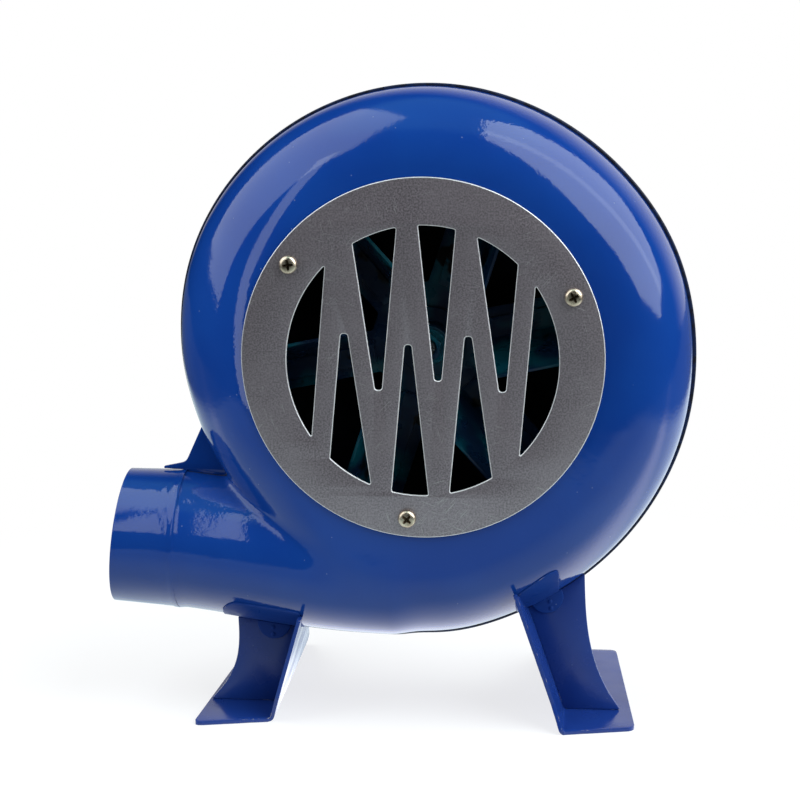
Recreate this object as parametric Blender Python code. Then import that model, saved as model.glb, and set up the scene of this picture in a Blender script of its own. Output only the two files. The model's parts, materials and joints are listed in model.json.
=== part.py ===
"""Hand crank blower: pressed-steel snail housing on two sheet legs, with a geared crank at the back.

The impeller axis runs along Y and the intake faces -Y. While modelling, the axis is at x = 0, z = 0 and the
seam between the two housing shells is the plane y = 0. The last step stands the whole blower on z = 0.
"""
import math

import bmesh
import bpy
from mathutils import Matrix, Vector
from mathutils.geometry import tessellate_polygon

MM = 0.001

# Clearances
GAP = 0.3 * MM
OVERLAP = 1.0 * MM

# Housing shells
SHEET = 1.0 * MM
FRONT_DEPTH = 32.0 * MM
BACK_DEPTH = 38.0 * MM
SHOULDER = 30.0 * MM
BACK_LIP_STEP = 1.0 * MM
RIM_RADII = tuple(r * MM for r in (104.5, 102.9, 102.3, 101.7, 98.0, 98.6, 116.2, 109.5))
EYE_RADIUS = 57.0 * MM
SHELL_SEGMENTS = 48
SHOULDER_STEPS = 5

# Outlet: the neck axis rises slightly to the left
CREASE_X = -100.0 * MM
CREASE_Z = -80.5 * MM
DUCT_RADIUS = 28.0 * MM
DUCT_INNER_X = -14.0 * MM
DUCT_INNER_TOP = -62.0 * MM
DUCT_BELLY_DROP = 1.6 * MM
DUCT_SQUARENESS = 0.25
DUCT_PLUNGE = 12.0 * MM
NECK_LENGTH = 8.0 * MM
SLEEVE_LENGTH = 24.5 * MM
SLEEVE_END_RADIUS = 27.1 * MM
SLEEVE_WALL = 1.0 * MM
OUTLET_RISE = math.radians(2.4)
OUTLET_CUT = math.radians(3.5)
DUCT_SEGMENTS = 24
DUCT_STATIONS = 5

# Web of sheet that fills the corner between the outlet and the round body, on the back shell
GUSSET_REACH = 5.0 * MM
GUSSET_EDGE = 0.8 * MM
GUSSET_BEND = 3.4 * MM
GUSSET_RISE = 19.0 * MM
GUSSET_THICKNESS = 2.0 * MM

# Grille plate and its screws
GRILLE_RADIUS = 69.8 * MM
GRILLE_THICKNESS = 1.2 * MM
GRILLE_SEGMENTS = 60
SLOT_CIRCLE = 52.3 * MM
SLOT_CENTRE_Z = -0.8 * MM
SLOT_TIP = 1.3 * MM
SCREW_CIRCLE = 62.6 * MM
SCREW_ANGLES = tuple(math.radians(a) for a in (144.8, 23.4, 264.8))
SCREW_HEAD_RADIUS = 3.5 * MM
SCREW_HEAD_HEIGHT = 2.2 * MM
SCREW_SHANK_RADIUS = 2.0 * MM
SCREW_LENGTH = 8.0 * MM
SCREW_CROSS = 2.2 * MM

# Slots: tip x and z, then the two corners on the slot circle given by their x
UPPER_SLOTS_MM = ((-16.8, -12.0, -26.6, -10.0), (6.1, -8.1, -1.7, 12.5), (30.8, -12.0, 20.8, 36.2))
LOWER_SLOTS_MM = ((-30.0, 9.7, -35.6, -19.8), (-5.4, 5.7, -11.7, 2.5), (17.6, 9.2, 10.8, 27.0))
# Crescents: x of the straight edge where it meets the slot circle, above and below the axis
CRESCENTS = tuple(tuple(v * MM for v in row) for row in ((-37.3, -42.8), (43.0, 37.6)))

# Legs
AXIS_HEIGHT = 148.5 * MM
LEG_SHEET = 1.5 * MM
LEG_BACK = 76.0 * MM
FOOT_SLANT = 7.5 * MM
FOOT_TAPER = 6.5 * MM
REAR_UPSTAND = 5.0 * MM
LEG_NECK_DEPTH = 3.0 * MM
LEG_NECK_HEIGHT = 30.5 * MM
LEG_ARCH_RISE = 3.0 * MM
PLATE_TOP_STEPS = 8
LEG_CLEARANCE = 1.0 * MM
WEB_FRONT = -5.7 * MM
EAR_RADIUS = 6.8 * MM
STRIP_SHEET = 1.2 * MM
UNDER_STRIP = STRIP_SHEET + 2 * GAP
STRIP_FRONT = -23.0 * MM
STRIP_BACK = -3.0 * MM

# Each leg, with sizes along x counted away from the axis plane and the side +1 right, -1 left
RIGHT_LEG = {
    "side": 1,
    "front": -29.9 * MM,
    "top_step": 12.5 * MM,
    "foot_x": 54.7 * MM,
    "lean": math.radians(19.2),
    "foot_width": 29.5 * MM,
    "web_top_x": 63.3 * MM,
    "web_waist": 0.6 * MM,
    "web_foot_x": 78.6 * MM,
    "strip_lap": 5.5 * MM,
    "strip_length": 19.4 * MM,
    "ear_offset": 7.2 * MM,
    "slant_sign": 1,
}
LEFT_LEG = {
    "side": -1,
    "front": -31.2 * MM,
    "top_step": 10.0 * MM,
    "foot_x": 60.0 * MM,
    "lean": math.radians(15.6),
    "foot_width": 30.5 * MM,
    "web_top_x": 77.0 * MM,
    "web_waist": -0.6 * MM,
    "web_foot_x": 88.6 * MM,
    "strip_lap": 1.0 * MM,
    "strip_length": 32.3 * MM,
    "ear_offset": 9.0 * MM,
    "slant_sign": -1,
}

# Impeller
BLADE_COUNT = 6
BLADE_START = math.radians(12.0)
IMPELLER_RADIUS = 72.0 * MM
BLADE_INNER = 23.0 * MM
BLADE_DEPTH = 35.0 * MM
BLADE_SHEET = 1.2 * MM
BLADE_FOOT = 9.0 * MM
BLADE_LEAN = math.radians(16.0)
SPIDER_BACK = 15.2 * MM
SPIDER_SHEET = 1.2 * MM
SPIDER_CORE = 24.0 * MM
ARM_WIDTH = 17.0 * MM
HUB_RADIUS = 8.0 * MM
HUB_FLANGE_RADIUS = 14.0 * MM
HUB_FLANGE_THICKNESS = 1.8 * MM
HUB_LENGTH = 12.0 * MM
SPIGOT_RADIUS = 5.0 * MM
IMPELLER_SHAFT_RADIUS = 3.0 * MM
PINION_SEAT_RADIUS = 2.2 * MM
NUT_HEIGHT = 5.0 * MM
WASHER_THICKNESS = 1.2 * MM

# Bearings of the impeller shaft
BEARING_RADIUS = 9.5 * MM
BEARING_WIDTH = 6.0 * MM
HOUSING_RADIUS = 12.0 * MM
HOUSING_FLANGE_RADIUS = 15.5 * MM
HOUSING_FLANGE = 1.5 * MM
HOUSING_DEPTH = 21.0 * MM
HOUSING_LIP = 1.5 * MM
HOUSING_LIP_RADIUS = 7.5 * MM

# Gear case on the back shell
GEAR_PLATE = 2.0 * MM
GASKET = 0.8 * MM
COVER_SHEET = 1.2 * MM
COVER_FLANGE = 8.0 * MM
COVER_MARGIN = 3.0 * MM
COVER_SCREW_LENGTH = 12.0 * MM

# Gear train: crank wheel drives the idler pinion, idler wheel drives the impeller pinion
WHEEL_TEETH = 60
PINION_TEETH = 12
DRIVE_MODULE = 1.0 * MM
IDLER_MODULE = 0.8 * MM
PRESSURE_ANGLE = math.radians(20.0)
BACKLASH = 0.45 * MM
WHEEL_ADDENDUM = 0.70
PINION_ADDENDUM = 0.95
DEDENDUM = 1.25
PINION_KNEE = 0.45
GEAR_FACE = 6.0 * MM
PINION_EXTRA = 0.5 * MM
CRANK_OFFSET = 26.0 * MM
FLANGE_RUN = 1.7 * MM
PLANE_GAP = 2.7 * MM
COVER_RUN = 2.5 * MM

# Shafts, bushes and crank
CRANK_SHAFT_RADIUS = 5.0 * MM
IDLER_SHAFT_RADIUS = 3.0 * MM
BUSH_WALL = 1.7 * MM
BUSH_FLANGE = 1.5 * MM
BUSH_FLANGE_RIM = 1.8 * MM
CRANK_LENGTH = 100.0 * MM
ARM_THICKNESS = 4.0 * MM
ARM_HUB_RADIUS = 11.0 * MM
ARM_END_RADIUS = 9.0 * MM
CRANK_WASHER = 2.4 * MM
CRANK_NUT_FLATS = 16.0 * MM
GRIP_NUT_FLATS = 13.0 * MM
IMPELLER_NUT_FLATS = 10.0 * MM
CRANK_NUT_HEIGHT = 6.0 * MM
THREAD_STEP = 1.0 * MM
THREAD_END = 1.5 * MM
GRIP_LENGTH = 75.0 * MM
GRIP_RADIUS = 13.0 * MM
GRIP_WAIST = 11.5 * MM
GRIP_PIN_RADIUS = 4.0 * MM
GRIP_PIN_HEAD = 7.5 * MM
GRIP_PIN_HEAD_HEIGHT = 3.0 * MM

# Facets
ROUND_SEGMENTS = 24
SMALL_SEGMENTS = 16
SCREW_SEGMENTS = 12
HOLE_SEGMENTS = 10
EYE_SEGMENTS = 40

# Planes along Y that several pieces share
GRILLE_BACK = -FRONT_DEPTH - GAP
GRILLE_FRONT = GRILLE_BACK - GRILLE_THICKNESS
PLATE_FRONT = BACK_DEPTH + GAP
PLATE_BACK = PLATE_FRONT + GEAR_PLATE
COVER_FRONT = PLATE_BACK + GAP + GASKET + GAP
SEAT_FRONT = PLATE_BACK + GAP
IDLER_FRONT = SEAT_FRONT + HOUSING_FLANGE + FLANGE_RUN
IDLER_BACK = IDLER_FRONT + GEAR_FACE
DRIVE_FRONT = IDLER_BACK + PLANE_GAP
DRIVE_BACK = DRIVE_FRONT + GEAR_FACE
COVER_INNER = DRIVE_BACK + COVER_RUN
COVER_BACK = COVER_INNER + COVER_SHEET
CRANK_BUSH_BACK = COVER_BACK + GAP + BUSH_FLANGE
ARM_FRONT = CRANK_BUSH_BACK + GAP + CRANK_WASHER + GAP
ARM_BACK = ARM_FRONT + ARM_THICKNESS

# Shaft centres in the x, z plane
CRANK_CENTRE = (0.0, CRANK_OFFSET)
DRIVE_DISTANCE = (WHEEL_TEETH + PINION_TEETH) * DRIVE_MODULE / 2
IDLER_DISTANCE = (WHEEL_TEETH + PINION_TEETH) * IDLER_MODULE / 2
IDLER_ANGLE = math.asin(
    (IDLER_DISTANCE**2 + CRANK_OFFSET**2 - DRIVE_DISTANCE**2) / (2 * IDLER_DISTANCE * CRANK_OFFSET)
)
IDLER_CENTRE = (IDLER_DISTANCE * math.cos(IDLER_ANGLE), IDLER_DISTANCE * math.sin(IDLER_ANGLE))
GRIP_CENTRE = (0.0, CRANK_OFFSET - CRANK_LENGTH)


def clear_scene():
    for item in list(bpy.data.objects):
        bpy.data.objects.remove(item, do_unlink=True)


def make_material(name, colour, roughness, metallic):
    material = bpy.data.materials.new(name)
    material.use_nodes = True
    shader = material.node_tree.nodes["Principled BSDF"]
    shader.inputs["Base Color"].default_value = (*colour, 1.0)
    shader.inputs["Roughness"].default_value = roughness
    shader.inputs["Metallic"].default_value = metallic
    return material


def blue_paint():
    return make_material("blue_paint", (0.01, 0.07, 0.36), 0.22, 0.0)


def zinc_sheet():
    return make_material("zinc_sheet", (0.33, 0.34, 0.36), 0.42, 0.9)


def impeller_paint():
    return make_material("impeller_paint", (0.01, 0.13, 0.25), 0.3, 0.0)


def plated_steel():
    return make_material("plated_steel", (0.62, 0.58, 0.50), 0.3, 1.0)


def bright_steel():
    return make_material("bright_steel", (0.55, 0.56, 0.58), 0.28, 1.0)


def gear_steel():
    return make_material("gear_steel", (0.30, 0.30, 0.31), 0.38, 1.0)


def bronze():
    return make_material("bronze", (0.50, 0.33, 0.16), 0.35, 1.0)


def gasket_paper():
    return make_material("gasket_paper", (0.11, 0.09, 0.07), 0.9, 0.0)


def black_plastic():
    return make_material("black_plastic", (0.012, 0.012, 0.013), 0.4, 0.0)


def object_from(name, mesh_builder, material, parent=None):
    """Turn a bmesh into a named object with outward faces, smooth where its angles are shallow."""
    bmesh.ops.remove_doubles(mesh_builder, verts=mesh_builder.verts, dist=0.000001)
    bmesh.ops.recalc_face_normals(mesh_builder, faces=mesh_builder.faces)
    mesh = bpy.data.meshes.new(name)
    mesh_builder.to_mesh(mesh)
    mesh_builder.free()
    mesh.shade_smooth()
    mesh.set_sharp_from_angle(angle=math.radians(30.0))
    thing = bpy.data.objects.new(name, mesh)
    bpy.context.scene.collection.objects.link(thing)
    if material is not None:
        mesh.materials.append(material)
    if parent is not None:
        thing.parent = parent
        thing.matrix_parent_inverse = parent.matrix_world.inverted()
    return thing


def axle_empty(name, centre):
    """An empty on a joint's axis, which its moving pieces follow."""
    empty = bpy.data.objects.new(name, None)
    empty.location = (centre[0], 0.0, centre[1])
    bpy.context.scene.collection.objects.link(empty)
    bpy.context.view_layer.update()
    return empty


def facing_y(u, v, depth):
    """Place a flat outline in the x, z plane at a depth along Y."""
    return Vector((u, depth, v))


def prism(loops, near, far, place=facing_y):
    """Extrude an outline with holes between two depths. The first loop is the outer one."""
    builder = bmesh.new()
    flat = [[Vector((u, v, 0.0)) for u, v in loop] for loop in loops]
    triangles = tessellate_polygon(flat)
    front = [[builder.verts.new(place(u, v, near)) for u, v in loop] for loop in loops]
    back = [[builder.verts.new(place(u, v, far)) for u, v in loop] for loop in loops]
    for ring in (front, back):
        corners = [vert for loop in ring for vert in loop]
        for triangle in triangles:
            builder.faces.new([corners[i] for i in triangle])
    for ring_a, ring_b in zip(front, back):
        for i in range(len(ring_a)):
            j = (i + 1) % len(ring_a)
            builder.faces.new((ring_a[i], ring_a[j], ring_b[j], ring_b[i]))
    return builder


def loft(rings, closed=False):
    """Join rings of points of equal count with quads. Unless closed on itself, the ends are capped."""
    builder = bmesh.new()
    verts = [[builder.verts.new(point) for point in ring] for ring in rings]
    pairs = list(zip(verts, verts[1:]))
    if closed:
        pairs.append((verts[-1], verts[0]))
    for ring_a, ring_b in pairs:
        for i in range(len(ring_a)):
            j = (i + 1) % len(ring_a)
            builder.faces.new((ring_a[i], ring_a[j], ring_b[j], ring_b[i]))
    if not closed:
        builder.faces.new(verts[0])
        builder.faces.new(verts[-1])
    return builder


def circle(centre, radius, segments, start=0.0):
    steps = [start + 2 * math.pi * i / segments for i in range(segments)]
    return [(centre[0] + radius * math.cos(a), centre[1] + radius * math.sin(a)) for a in steps]


def hexagon(centre, flats):
    return circle(centre, flats / math.sqrt(3.0), 6)


def disc(centre, radius, near, far, segments=ROUND_SEGMENTS):
    return prism([circle(centre, radius, segments)], near, far)


def turned(centre, profile, segments=ROUND_SEGMENTS):
    """A hollow turned piece: a closed profile of (radius, depth) points spun about a shaft along Y."""
    rings = []
    for radius, depth in profile:
        rings.append([facing_y(u, v, depth) for u, v in circle(centre, radius, segments)])
    return loft(rings, closed=True)


def solid_turned(centre, profile, segments=ROUND_SEGMENTS):
    """A solid turned piece: (radius, depth) points from one end to the other."""
    rings = []
    for radius, depth in profile:
        rings.append([facing_y(u, v, depth) for u, v in circle(centre, radius, segments)])
    return loft(rings)


def combine(base, tools, operation):
    """Apply exact Booleans to an object and remove the tools."""
    for tool in tools:
        modifier = base.modifiers.new(operation.lower(), "BOOLEAN")
        modifier.operation = operation
        modifier.solver = "EXACT"
        modifier.object = tool
    bpy.context.view_layer.update()
    evaluated = base.evaluated_get(bpy.context.evaluated_depsgraph_get())
    mesh = bpy.data.meshes.new_from_object(evaluated)
    base.modifiers.clear()
    base.data = mesh
    for tool in tools:
        bpy.data.objects.remove(tool, do_unlink=True)
    return base


def cut(base, *builders):
    return combine(base, [object_from("cutter", b, None) for b in builders], "DIFFERENCE")


def add(base, *builders):
    return combine(base, [object_from("addition", b, None) for b in builders], "UNION")


def box_builder(low, high):
    outline = [(low[0], low[2]), (high[0], low[2]), (high[0], high[2]), (low[0], high[2])]
    return prism([outline], low[1], high[1])


def rim_radius(angle):
    """Radius of the housing rim at an angle in the x, z plane: a smooth curve through eight named radii."""
    count = len(RIM_RADII)
    position = (angle / (2 * math.pi)) % 1.0 * count
    i = int(position)
    t = position - i
    before, here, after, beyond = (RIM_RADII[(i + k) % count] for k in (-1, 0, 1, 2))
    bend = 2 * before - 5 * here + 4 * after - beyond
    twist = 3 * here - before - 3 * after + beyond
    return here + 0.5 * t * ((after - before) + t * (bend + t * twist))


def shoulder_inset(depth, full_depth):
    """How far the rounded shoulder has drawn in from the rim at a depth from the seam."""
    share = min(abs(depth) / full_depth, 1.0)
    return SHOULDER * (1.0 - math.sqrt(1.0 - share * share))


def body_builder(side, full_depth, inset, grow):
    """Snail body without the outlet. Side is -1 for the front half and +1 for the back half."""
    angles = [2 * math.pi * i / SHELL_SEGMENTS for i in range(SHELL_SEGMENTS)]
    rings = []
    stations = [(0.0, -side * (OVERLAP + inset))]
    for k in range(SHOULDER_STEPS + 1):
        turn = 0.5 * math.pi * k / SHOULDER_STEPS
        stations.append((turn, side * (full_depth - inset) * math.sin(turn)))
    for turn, depth in stations:
        drawn_in = (SHOULDER - inset) * (1.0 - math.cos(turn))
        ring = []
        for angle in angles:
            radius = rim_radius(angle) + grow - inset - drawn_in
            ring.append(Vector((radius * math.cos(angle), depth, radius * math.sin(angle))))
        rings.append(ring)
    return loft(rings)


def duct_stations():
    """Sections of the outlet duct from the crease into the body: x, middle z, half height and belly share."""
    bottom_start = CREASE_Z - DUCT_RADIUS
    top_start = CREASE_Z + DUCT_RADIUS
    end_radius = rim_radius(1.5 * math.pi + math.asin(DUCT_INNER_X / RIM_RADII[6]))
    bottom_end = -math.sqrt(end_radius**2 - DUCT_INNER_X**2)
    stations = []
    for k in range(DUCT_STATIONS):
        t = k / (DUCT_STATIONS - 1)
        x = CREASE_X + (DUCT_INNER_X - CREASE_X) * t
        belly = DUCT_BELLY_DROP * math.sin(math.pi * t)
        bottom = bottom_start + (bottom_end - bottom_start) * t - belly
        top = top_start + (DUCT_INNER_TOP - top_start) * t
        stations.append((x, (top + bottom) / 2, (top - bottom) / 2, t))
    return stations


def duct_ring(x, middle, half_height, half_depth, blend, tilt):
    """One section of the duct: a circle at the crease that squares up towards the body."""
    power = 2.0 / (2.0 + DUCT_SQUARENESS * blend)
    ring = []
    for i in range(DUCT_SEGMENTS):
        angle = 2 * math.pi * (i + 0.5) / DUCT_SEGMENTS
        side = math.copysign(abs(math.cos(angle)) ** power, math.cos(angle))
        rise = math.copysign(abs(math.sin(angle)) ** power, math.sin(angle))
        z = half_height * rise
        ring.append(Vector((x + z * math.sin(tilt), half_depth * side, middle + z * math.cos(tilt))))
    return ring


def outlet_axis_point(along):
    """A point on the outlet's axis, measured outwards from the crease."""
    return (CREASE_X - along * math.cos(OUTLET_RISE), CREASE_Z + along * math.sin(OUTLET_RISE))


def sleeve_radius(along):
    """Outer radius of the slightly tapered sleeve, measured outwards from the crease."""
    return DUCT_RADIUS + (SLEEVE_END_RADIUS - DUCT_RADIUS) * along / SLEEVE_LENGTH


def outlet_ring(along, radius, cut_angle=0.0):
    """A ring of the round outlet square to its axis, or on an oblique end cut."""
    ring = []
    for i in range(DUCT_SEGMENTS):
        angle = 2 * math.pi * (i + 0.5) / DUCT_SEGMENTS
        rise = radius * math.sin(angle)
        x, z = outlet_axis_point(along - rise * math.tan(cut_angle))
        offset = (rise * math.sin(OUTLET_RISE), rise * math.cos(OUTLET_RISE))
        ring.append(Vector((x + offset[0], radius * math.cos(angle), z + offset[1])))
    return ring


def duct_builder(full_depth, inset, grow, neck_end):
    """Duct from the neck's end into the body, as one closed solid across the seam."""
    inside = SLEEVE_WALL + GAP + inset
    rings = [outlet_ring(along, sleeve_radius(along) - inside) for along in (neck_end, -inset)]
    for x, middle, half_height, t in duct_stations():
        swell = grow * min(1.0, 2.0 * t)
        half_depth = DUCT_RADIUS + (full_depth - DUCT_RADIUS) * t
        tilt = OUTLET_RISE * (1.0 - t)
        step = GAP + inset * (1.0 - t)
        rings.append(duct_ring(x + step, middle, half_height + swell - inset, half_depth - inset, t, tilt))
    last = duct_ring(x + DUCT_PLUNGE, middle + half_height * 0.1, half_height * 0.8, half_depth * 0.8, t, 0.0)
    return loft(rings + [last])


def duct_bottom(x, depth, full_depth, grow):
    """Lowest z of the duct's outside at an x and a depth, or None outside the duct."""
    stations = duct_stations()
    for (x0, m0, h0, t0), (x1, m1, h1, t1) in zip(stations, stations[1:]):
        if x0 <= x <= x1:
            share = (x - x0) / (x1 - x0)
            t = t0 + (t1 - t0) * share
            middle = m0 + (m1 - m0) * share
            half_height = h0 + (h1 - h0) * share + grow * min(1.0, 2.0 * t)
            half_depth = DUCT_RADIUS + (full_depth - DUCT_RADIUS) * t
            power = 2.0 + DUCT_SQUARENESS * t
            room = 1.0 - min(abs(depth) / half_depth, 1.0) ** power
            return middle - half_height * room ** (1.0 / power)
    return None


def housing_bottom(x, depth):
    """Lowest z of the housing's outside above a point, used by all that hugs it from below."""
    full_depth = FRONT_DEPTH if depth < 0.0 else BACK_DEPTH
    grow = 0.0 if depth < 0.0 else BACK_LIP_STEP
    z = -RIM_RADII[6]
    for _ in range(4):
        radius = rim_radius(math.atan2(z, x)) + grow - shoulder_inset(depth, full_depth)
        z = -math.sqrt(max(radius * radius - x * x, 0.0))
    duct = duct_bottom(x, depth, full_depth, grow)
    return z if duct is None else min(z, duct)


def shell(name, side, full_depth, grow, material):
    """One half of the housing: outer volume less inner volume, cut at the seam."""
    outer = object_from(name, body_builder(side, full_depth, 0.0, grow), material)
    add(outer, duct_builder(full_depth, 0.0, grow, NECK_LENGTH))
    inner = object_from("inner", body_builder(side, full_depth, SHEET, grow), None)
    add(inner, duct_builder(full_depth, SHEET, grow, NECK_LENGTH + OVERLAP))
    combine(outer, [inner], "DIFFERENCE")
    reach = 3 * RIM_RADII[6]
    seam = side * GAP / 2
    low = min(seam, -side * reach)
    high = max(seam, -side * reach)
    return cut(outer, box_builder((-reach, low, -reach), (reach, high, reach)))


def front_shell(material):
    thing = shell("front_shell", -1, FRONT_DEPTH, 0.0, material)
    outer = -FRONT_DEPTH - OVERLAP
    inner = -FRONT_DEPTH + SHEET + OVERLAP
    cut(thing, disc((0.0, 0.0), EYE_RADIUS, outer, inner, EYE_SEGMENTS))
    holes = []
    for centre in screw_centres():
        holes.append(disc(centre, SCREW_SHANK_RADIUS + GAP, outer, inner, HOLE_SEGMENTS))
    return cut(thing, *holes)


def back_shell(material):
    thing = shell("back_shell", 1, BACK_DEPTH, BACK_LIP_STEP, material)
    inner = BACK_DEPTH - SHEET - OVERLAP
    outer = BACK_DEPTH + OVERLAP
    holes = [
        disc((0.0, 0.0), HOUSING_RADIUS + GAP, inner, outer),
        disc(CRANK_CENTRE, CRANK_SHAFT_RADIUS + BUSH_WALL + GAP, inner, outer, SMALL_SEGMENTS),
        disc(IDLER_CENTRE, IDLER_SHAFT_RADIUS + BUSH_WALL + GAP, inner, outer, SMALL_SEGMENTS),
    ]
    for centre in cover_screw_centres():
        holes.append(disc(centre, SCREW_SHANK_RADIUS + GAP, inner, outer, HOLE_SEGMENTS))
    cut(thing, *holes)
    return add(thing, gusset_builder())


def gusset_builder():
    """Flat corner web between the outlet's top and the round body, part of the back shell."""
    top = CREASE_Z + DUCT_RADIUS
    left = CREASE_X + DUCT_RADIUS * math.sin(OUTLET_RISE) + GAP
    far = (left - GUSSET_REACH, top + GUSSET_REACH * math.tan(OUTLET_RISE) + GAP)
    angle = math.pi + math.asin(min(0.9, -(top + GUSSET_RISE) / RIM_RADII[4]))
    radius = rim_radius(angle) + BACK_LIP_STEP - SHEET / 2
    body = (radius * math.cos(angle), radius * math.sin(angle))
    sunk = DUCT_RADIUS / 4
    outline = [
        far,
        (far[0], far[1] + GUSSET_EDGE),
        (left, top + GUSSET_BEND),
        body,
        (body[0] + GUSSET_RISE, top - sunk),
        (left, top - sunk),
        (left, top + GAP),
    ]
    front = GAP / 2 + SHEET / 4
    raw = object_from("gusset", prism([outline], front, front + GUSSET_THICKNESS), None)
    cut(raw, body_builder(1, BACK_DEPTH, SHEET / 2, BACK_LIP_STEP))
    cut(raw, duct_builder(BACK_DEPTH, SHEET / 2, BACK_LIP_STEP, NECK_LENGTH))
    builder = bmesh.new()
    builder.from_mesh(raw.data)
    bpy.data.objects.remove(raw, do_unlink=True)
    return builder


def outlet_sleeve(material):
    outer_start = outlet_ring(0.0, DUCT_RADIUS)
    outer_end = outlet_ring(SLEEVE_LENGTH, SLEEVE_END_RADIUS, OUTLET_CUT)
    inner_end = outlet_ring(SLEEVE_LENGTH, SLEEVE_END_RADIUS - SLEEVE_WALL, OUTLET_CUT)
    inner_start = outlet_ring(0.0, DUCT_RADIUS - SLEEVE_WALL)
    rings = [outer_start, outer_end, inner_end, inner_start]
    return object_from("outlet_sleeve", loft(rings, closed=True), material)


def screw_centres():
    return [(SCREW_CIRCLE * math.cos(a), SCREW_CIRCLE * math.sin(a)) for a in SCREW_ANGLES]


def on_slot_circle(x, sign):
    return (x, SLOT_CENTRE_Z + sign * math.sqrt(SLOT_CIRCLE**2 - x * x))


def slot_arc(start, end):
    """Points along the slot circle between two of its points, the short way."""
    a0 = math.atan2(start[1] - SLOT_CENTRE_Z, start[0])
    a1 = math.atan2(end[1] - SLOT_CENTRE_Z, end[0])
    turn = (a1 - a0 + math.pi) % (2 * math.pi) - math.pi
    steps = max(2, round(abs(turn) / math.radians(9.0)))
    angles = [a0 + turn * i / steps for i in range(steps + 1)]
    return [(SLOT_CIRCLE * math.cos(a), SLOT_CENTRE_Z + SLOT_CIRCLE * math.sin(a)) for a in angles]


def slot_loops():
    """Outlines of the zigzag slots, computed from their tips and their corners on the slot circle."""
    loops = []
    for rows, sign in ((UPPER_SLOTS_MM, 1.0), (LOWER_SLOTS_MM, -1.0)):
        for row in rows:
            tip_x, tip_z, left, right = (value * MM for value in row)
            arc = slot_arc(on_slot_circle(left, sign), on_slot_circle(right, sign))
            shoulder = tip_z + sign * SLOT_TIP
            loops.append(arc + [(tip_x + SLOT_TIP, shoulder), (tip_x, tip_z), (tip_x - SLOT_TIP, shoulder)])
    for above, below in CRESCENTS:
        loops.append(slot_arc(on_slot_circle(above, 1.0), on_slot_circle(below, -1.0)))
    return loops


def grille_plate(material):
    loops = [circle((0.0, 0.0), GRILLE_RADIUS, GRILLE_SEGMENTS)] + slot_loops()
    for centre in screw_centres():
        loops.append(circle(centre, SCREW_SHANK_RADIUS + GAP, HOLE_SEGMENTS))
    return object_from("grille_plate", prism(loops, GRILLE_FRONT, GRILLE_BACK), material)


def cross_screw(name, centre, seat, direction, length, material):
    """Pan-head screw whose head sits outside a seat plane. Direction is +1 where the head points to +Y."""
    tip = seat - direction * length
    head = seat + direction * GAP
    top = head + direction * SCREW_HEAD_HEIGHT
    rim = head + direction * SCREW_HEAD_HEIGHT * 0.6
    profile = [
        (SCREW_SHANK_RADIUS * 0.7, tip),
        (SCREW_SHANK_RADIUS, tip + direction * SCREW_SHANK_RADIUS / 2),
        (SCREW_SHANK_RADIUS, head),
        (SCREW_HEAD_RADIUS, head),
        (SCREW_HEAD_RADIUS, rim),
        (SCREW_HEAD_RADIUS * 0.6, top),
    ]
    thing = object_from(name, solid_turned(centre, profile, SCREW_SEGMENTS), material)
    arm = SCREW_CROSS / 6
    floor = top - direction * SCREW_HEAD_HEIGHT / 2
    over = top + direction * OVERLAP
    outline = []
    for quarter in range(4):
        axis = math.pi / 2 * quarter
        for along, aside in ((arm, -arm), (SCREW_CROSS, -arm * 0.7), (SCREW_CROSS, arm * 0.7)):
            u = along * math.cos(axis) - aside * math.sin(axis)
            v = along * math.sin(axis) + aside * math.cos(axis)
            outline.append((centre[0] + u, centre[1] + v))
    return cut(thing, prism([outline], floor, over))


def leg_inner_x(leg, z):
    """Distance of the side plate's inner face from the axis plane at a height."""
    return leg["foot_x"] - (z + AXIS_HEIGHT) * math.tan(leg["lean"])


def leg_outer_x(leg, z):
    return leg_inner_x(leg, z) + LEG_SHEET


def hug(leg, across, depth, drop):
    """Height of a line that follows the housing from below, a drop under it."""
    return housing_bottom(leg["side"] * across, depth) - drop


def meeting(leg, depth):
    """Distance and height where the side plate's outer face reaches the underside of the saddle strip."""
    across = leg["foot_x"]
    for _ in range(8):
        height = hug(leg, across, depth, UNDER_STRIP)
        across = leg_outer_x(leg, height) + GAP
    return across, height


def strip_ends(leg):
    """Where the saddle strip starts, lapping over the side plate, and where it ends."""
    start = meeting(leg, STRIP_BACK)[0] - GAP - LEG_SHEET - leg["strip_lap"]
    return start, start + leg["strip_length"]


def plate_top(leg, depth):
    """Height at a depth where the leaning side plate just clears the housing."""
    height = -AXIS_HEIGHT
    for _ in range(8):
        near = leg_inner_x(leg, height)
        height = min(hug(leg, near + offset, depth, UNDER_STRIP) for offset in (0.0, LEG_SHEET))
    return height


def side_plate_builder(leg):
    """Leaning side plate: full height in front, cut under the housing, then an arch down to the rear."""
    floor = -AXIS_HEIGHT
    front = leg["front"]
    top = plate_top(leg, 0.0) + leg["top_step"]
    outline = [(front, floor), (front, top)]
    for i in range(1, PLATE_TOP_STEPS + 1):
        depth = front * (1.0 - i / PLATE_TOP_STEPS)
        outline.append((depth, min(top - GAP * i, plate_top(leg, depth))))
    neck = floor + LEG_NECK_HEIGHT
    outline.append((LEG_NECK_DEPTH, neck))
    for i in range(1, 6):
        t = i / 6
        depth = LEG_NECK_DEPTH + (LEG_BACK - LEG_NECK_DEPTH) * t
        rise = LEG_ARCH_RISE * math.sin(math.pi * t)
        outline.append((depth, neck + (floor + REAR_UPSTAND - neck) * t + rise))
    outline += [(LEG_BACK, floor + REAR_UPSTAND), (LEG_BACK, floor)]
    side = leg["side"]

    def place(depth, z, offset):
        return Vector((side * (leg_inner_x(leg, z) + offset), depth, z))

    return prism([outline], 0.0, LEG_SHEET, place)


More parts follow.
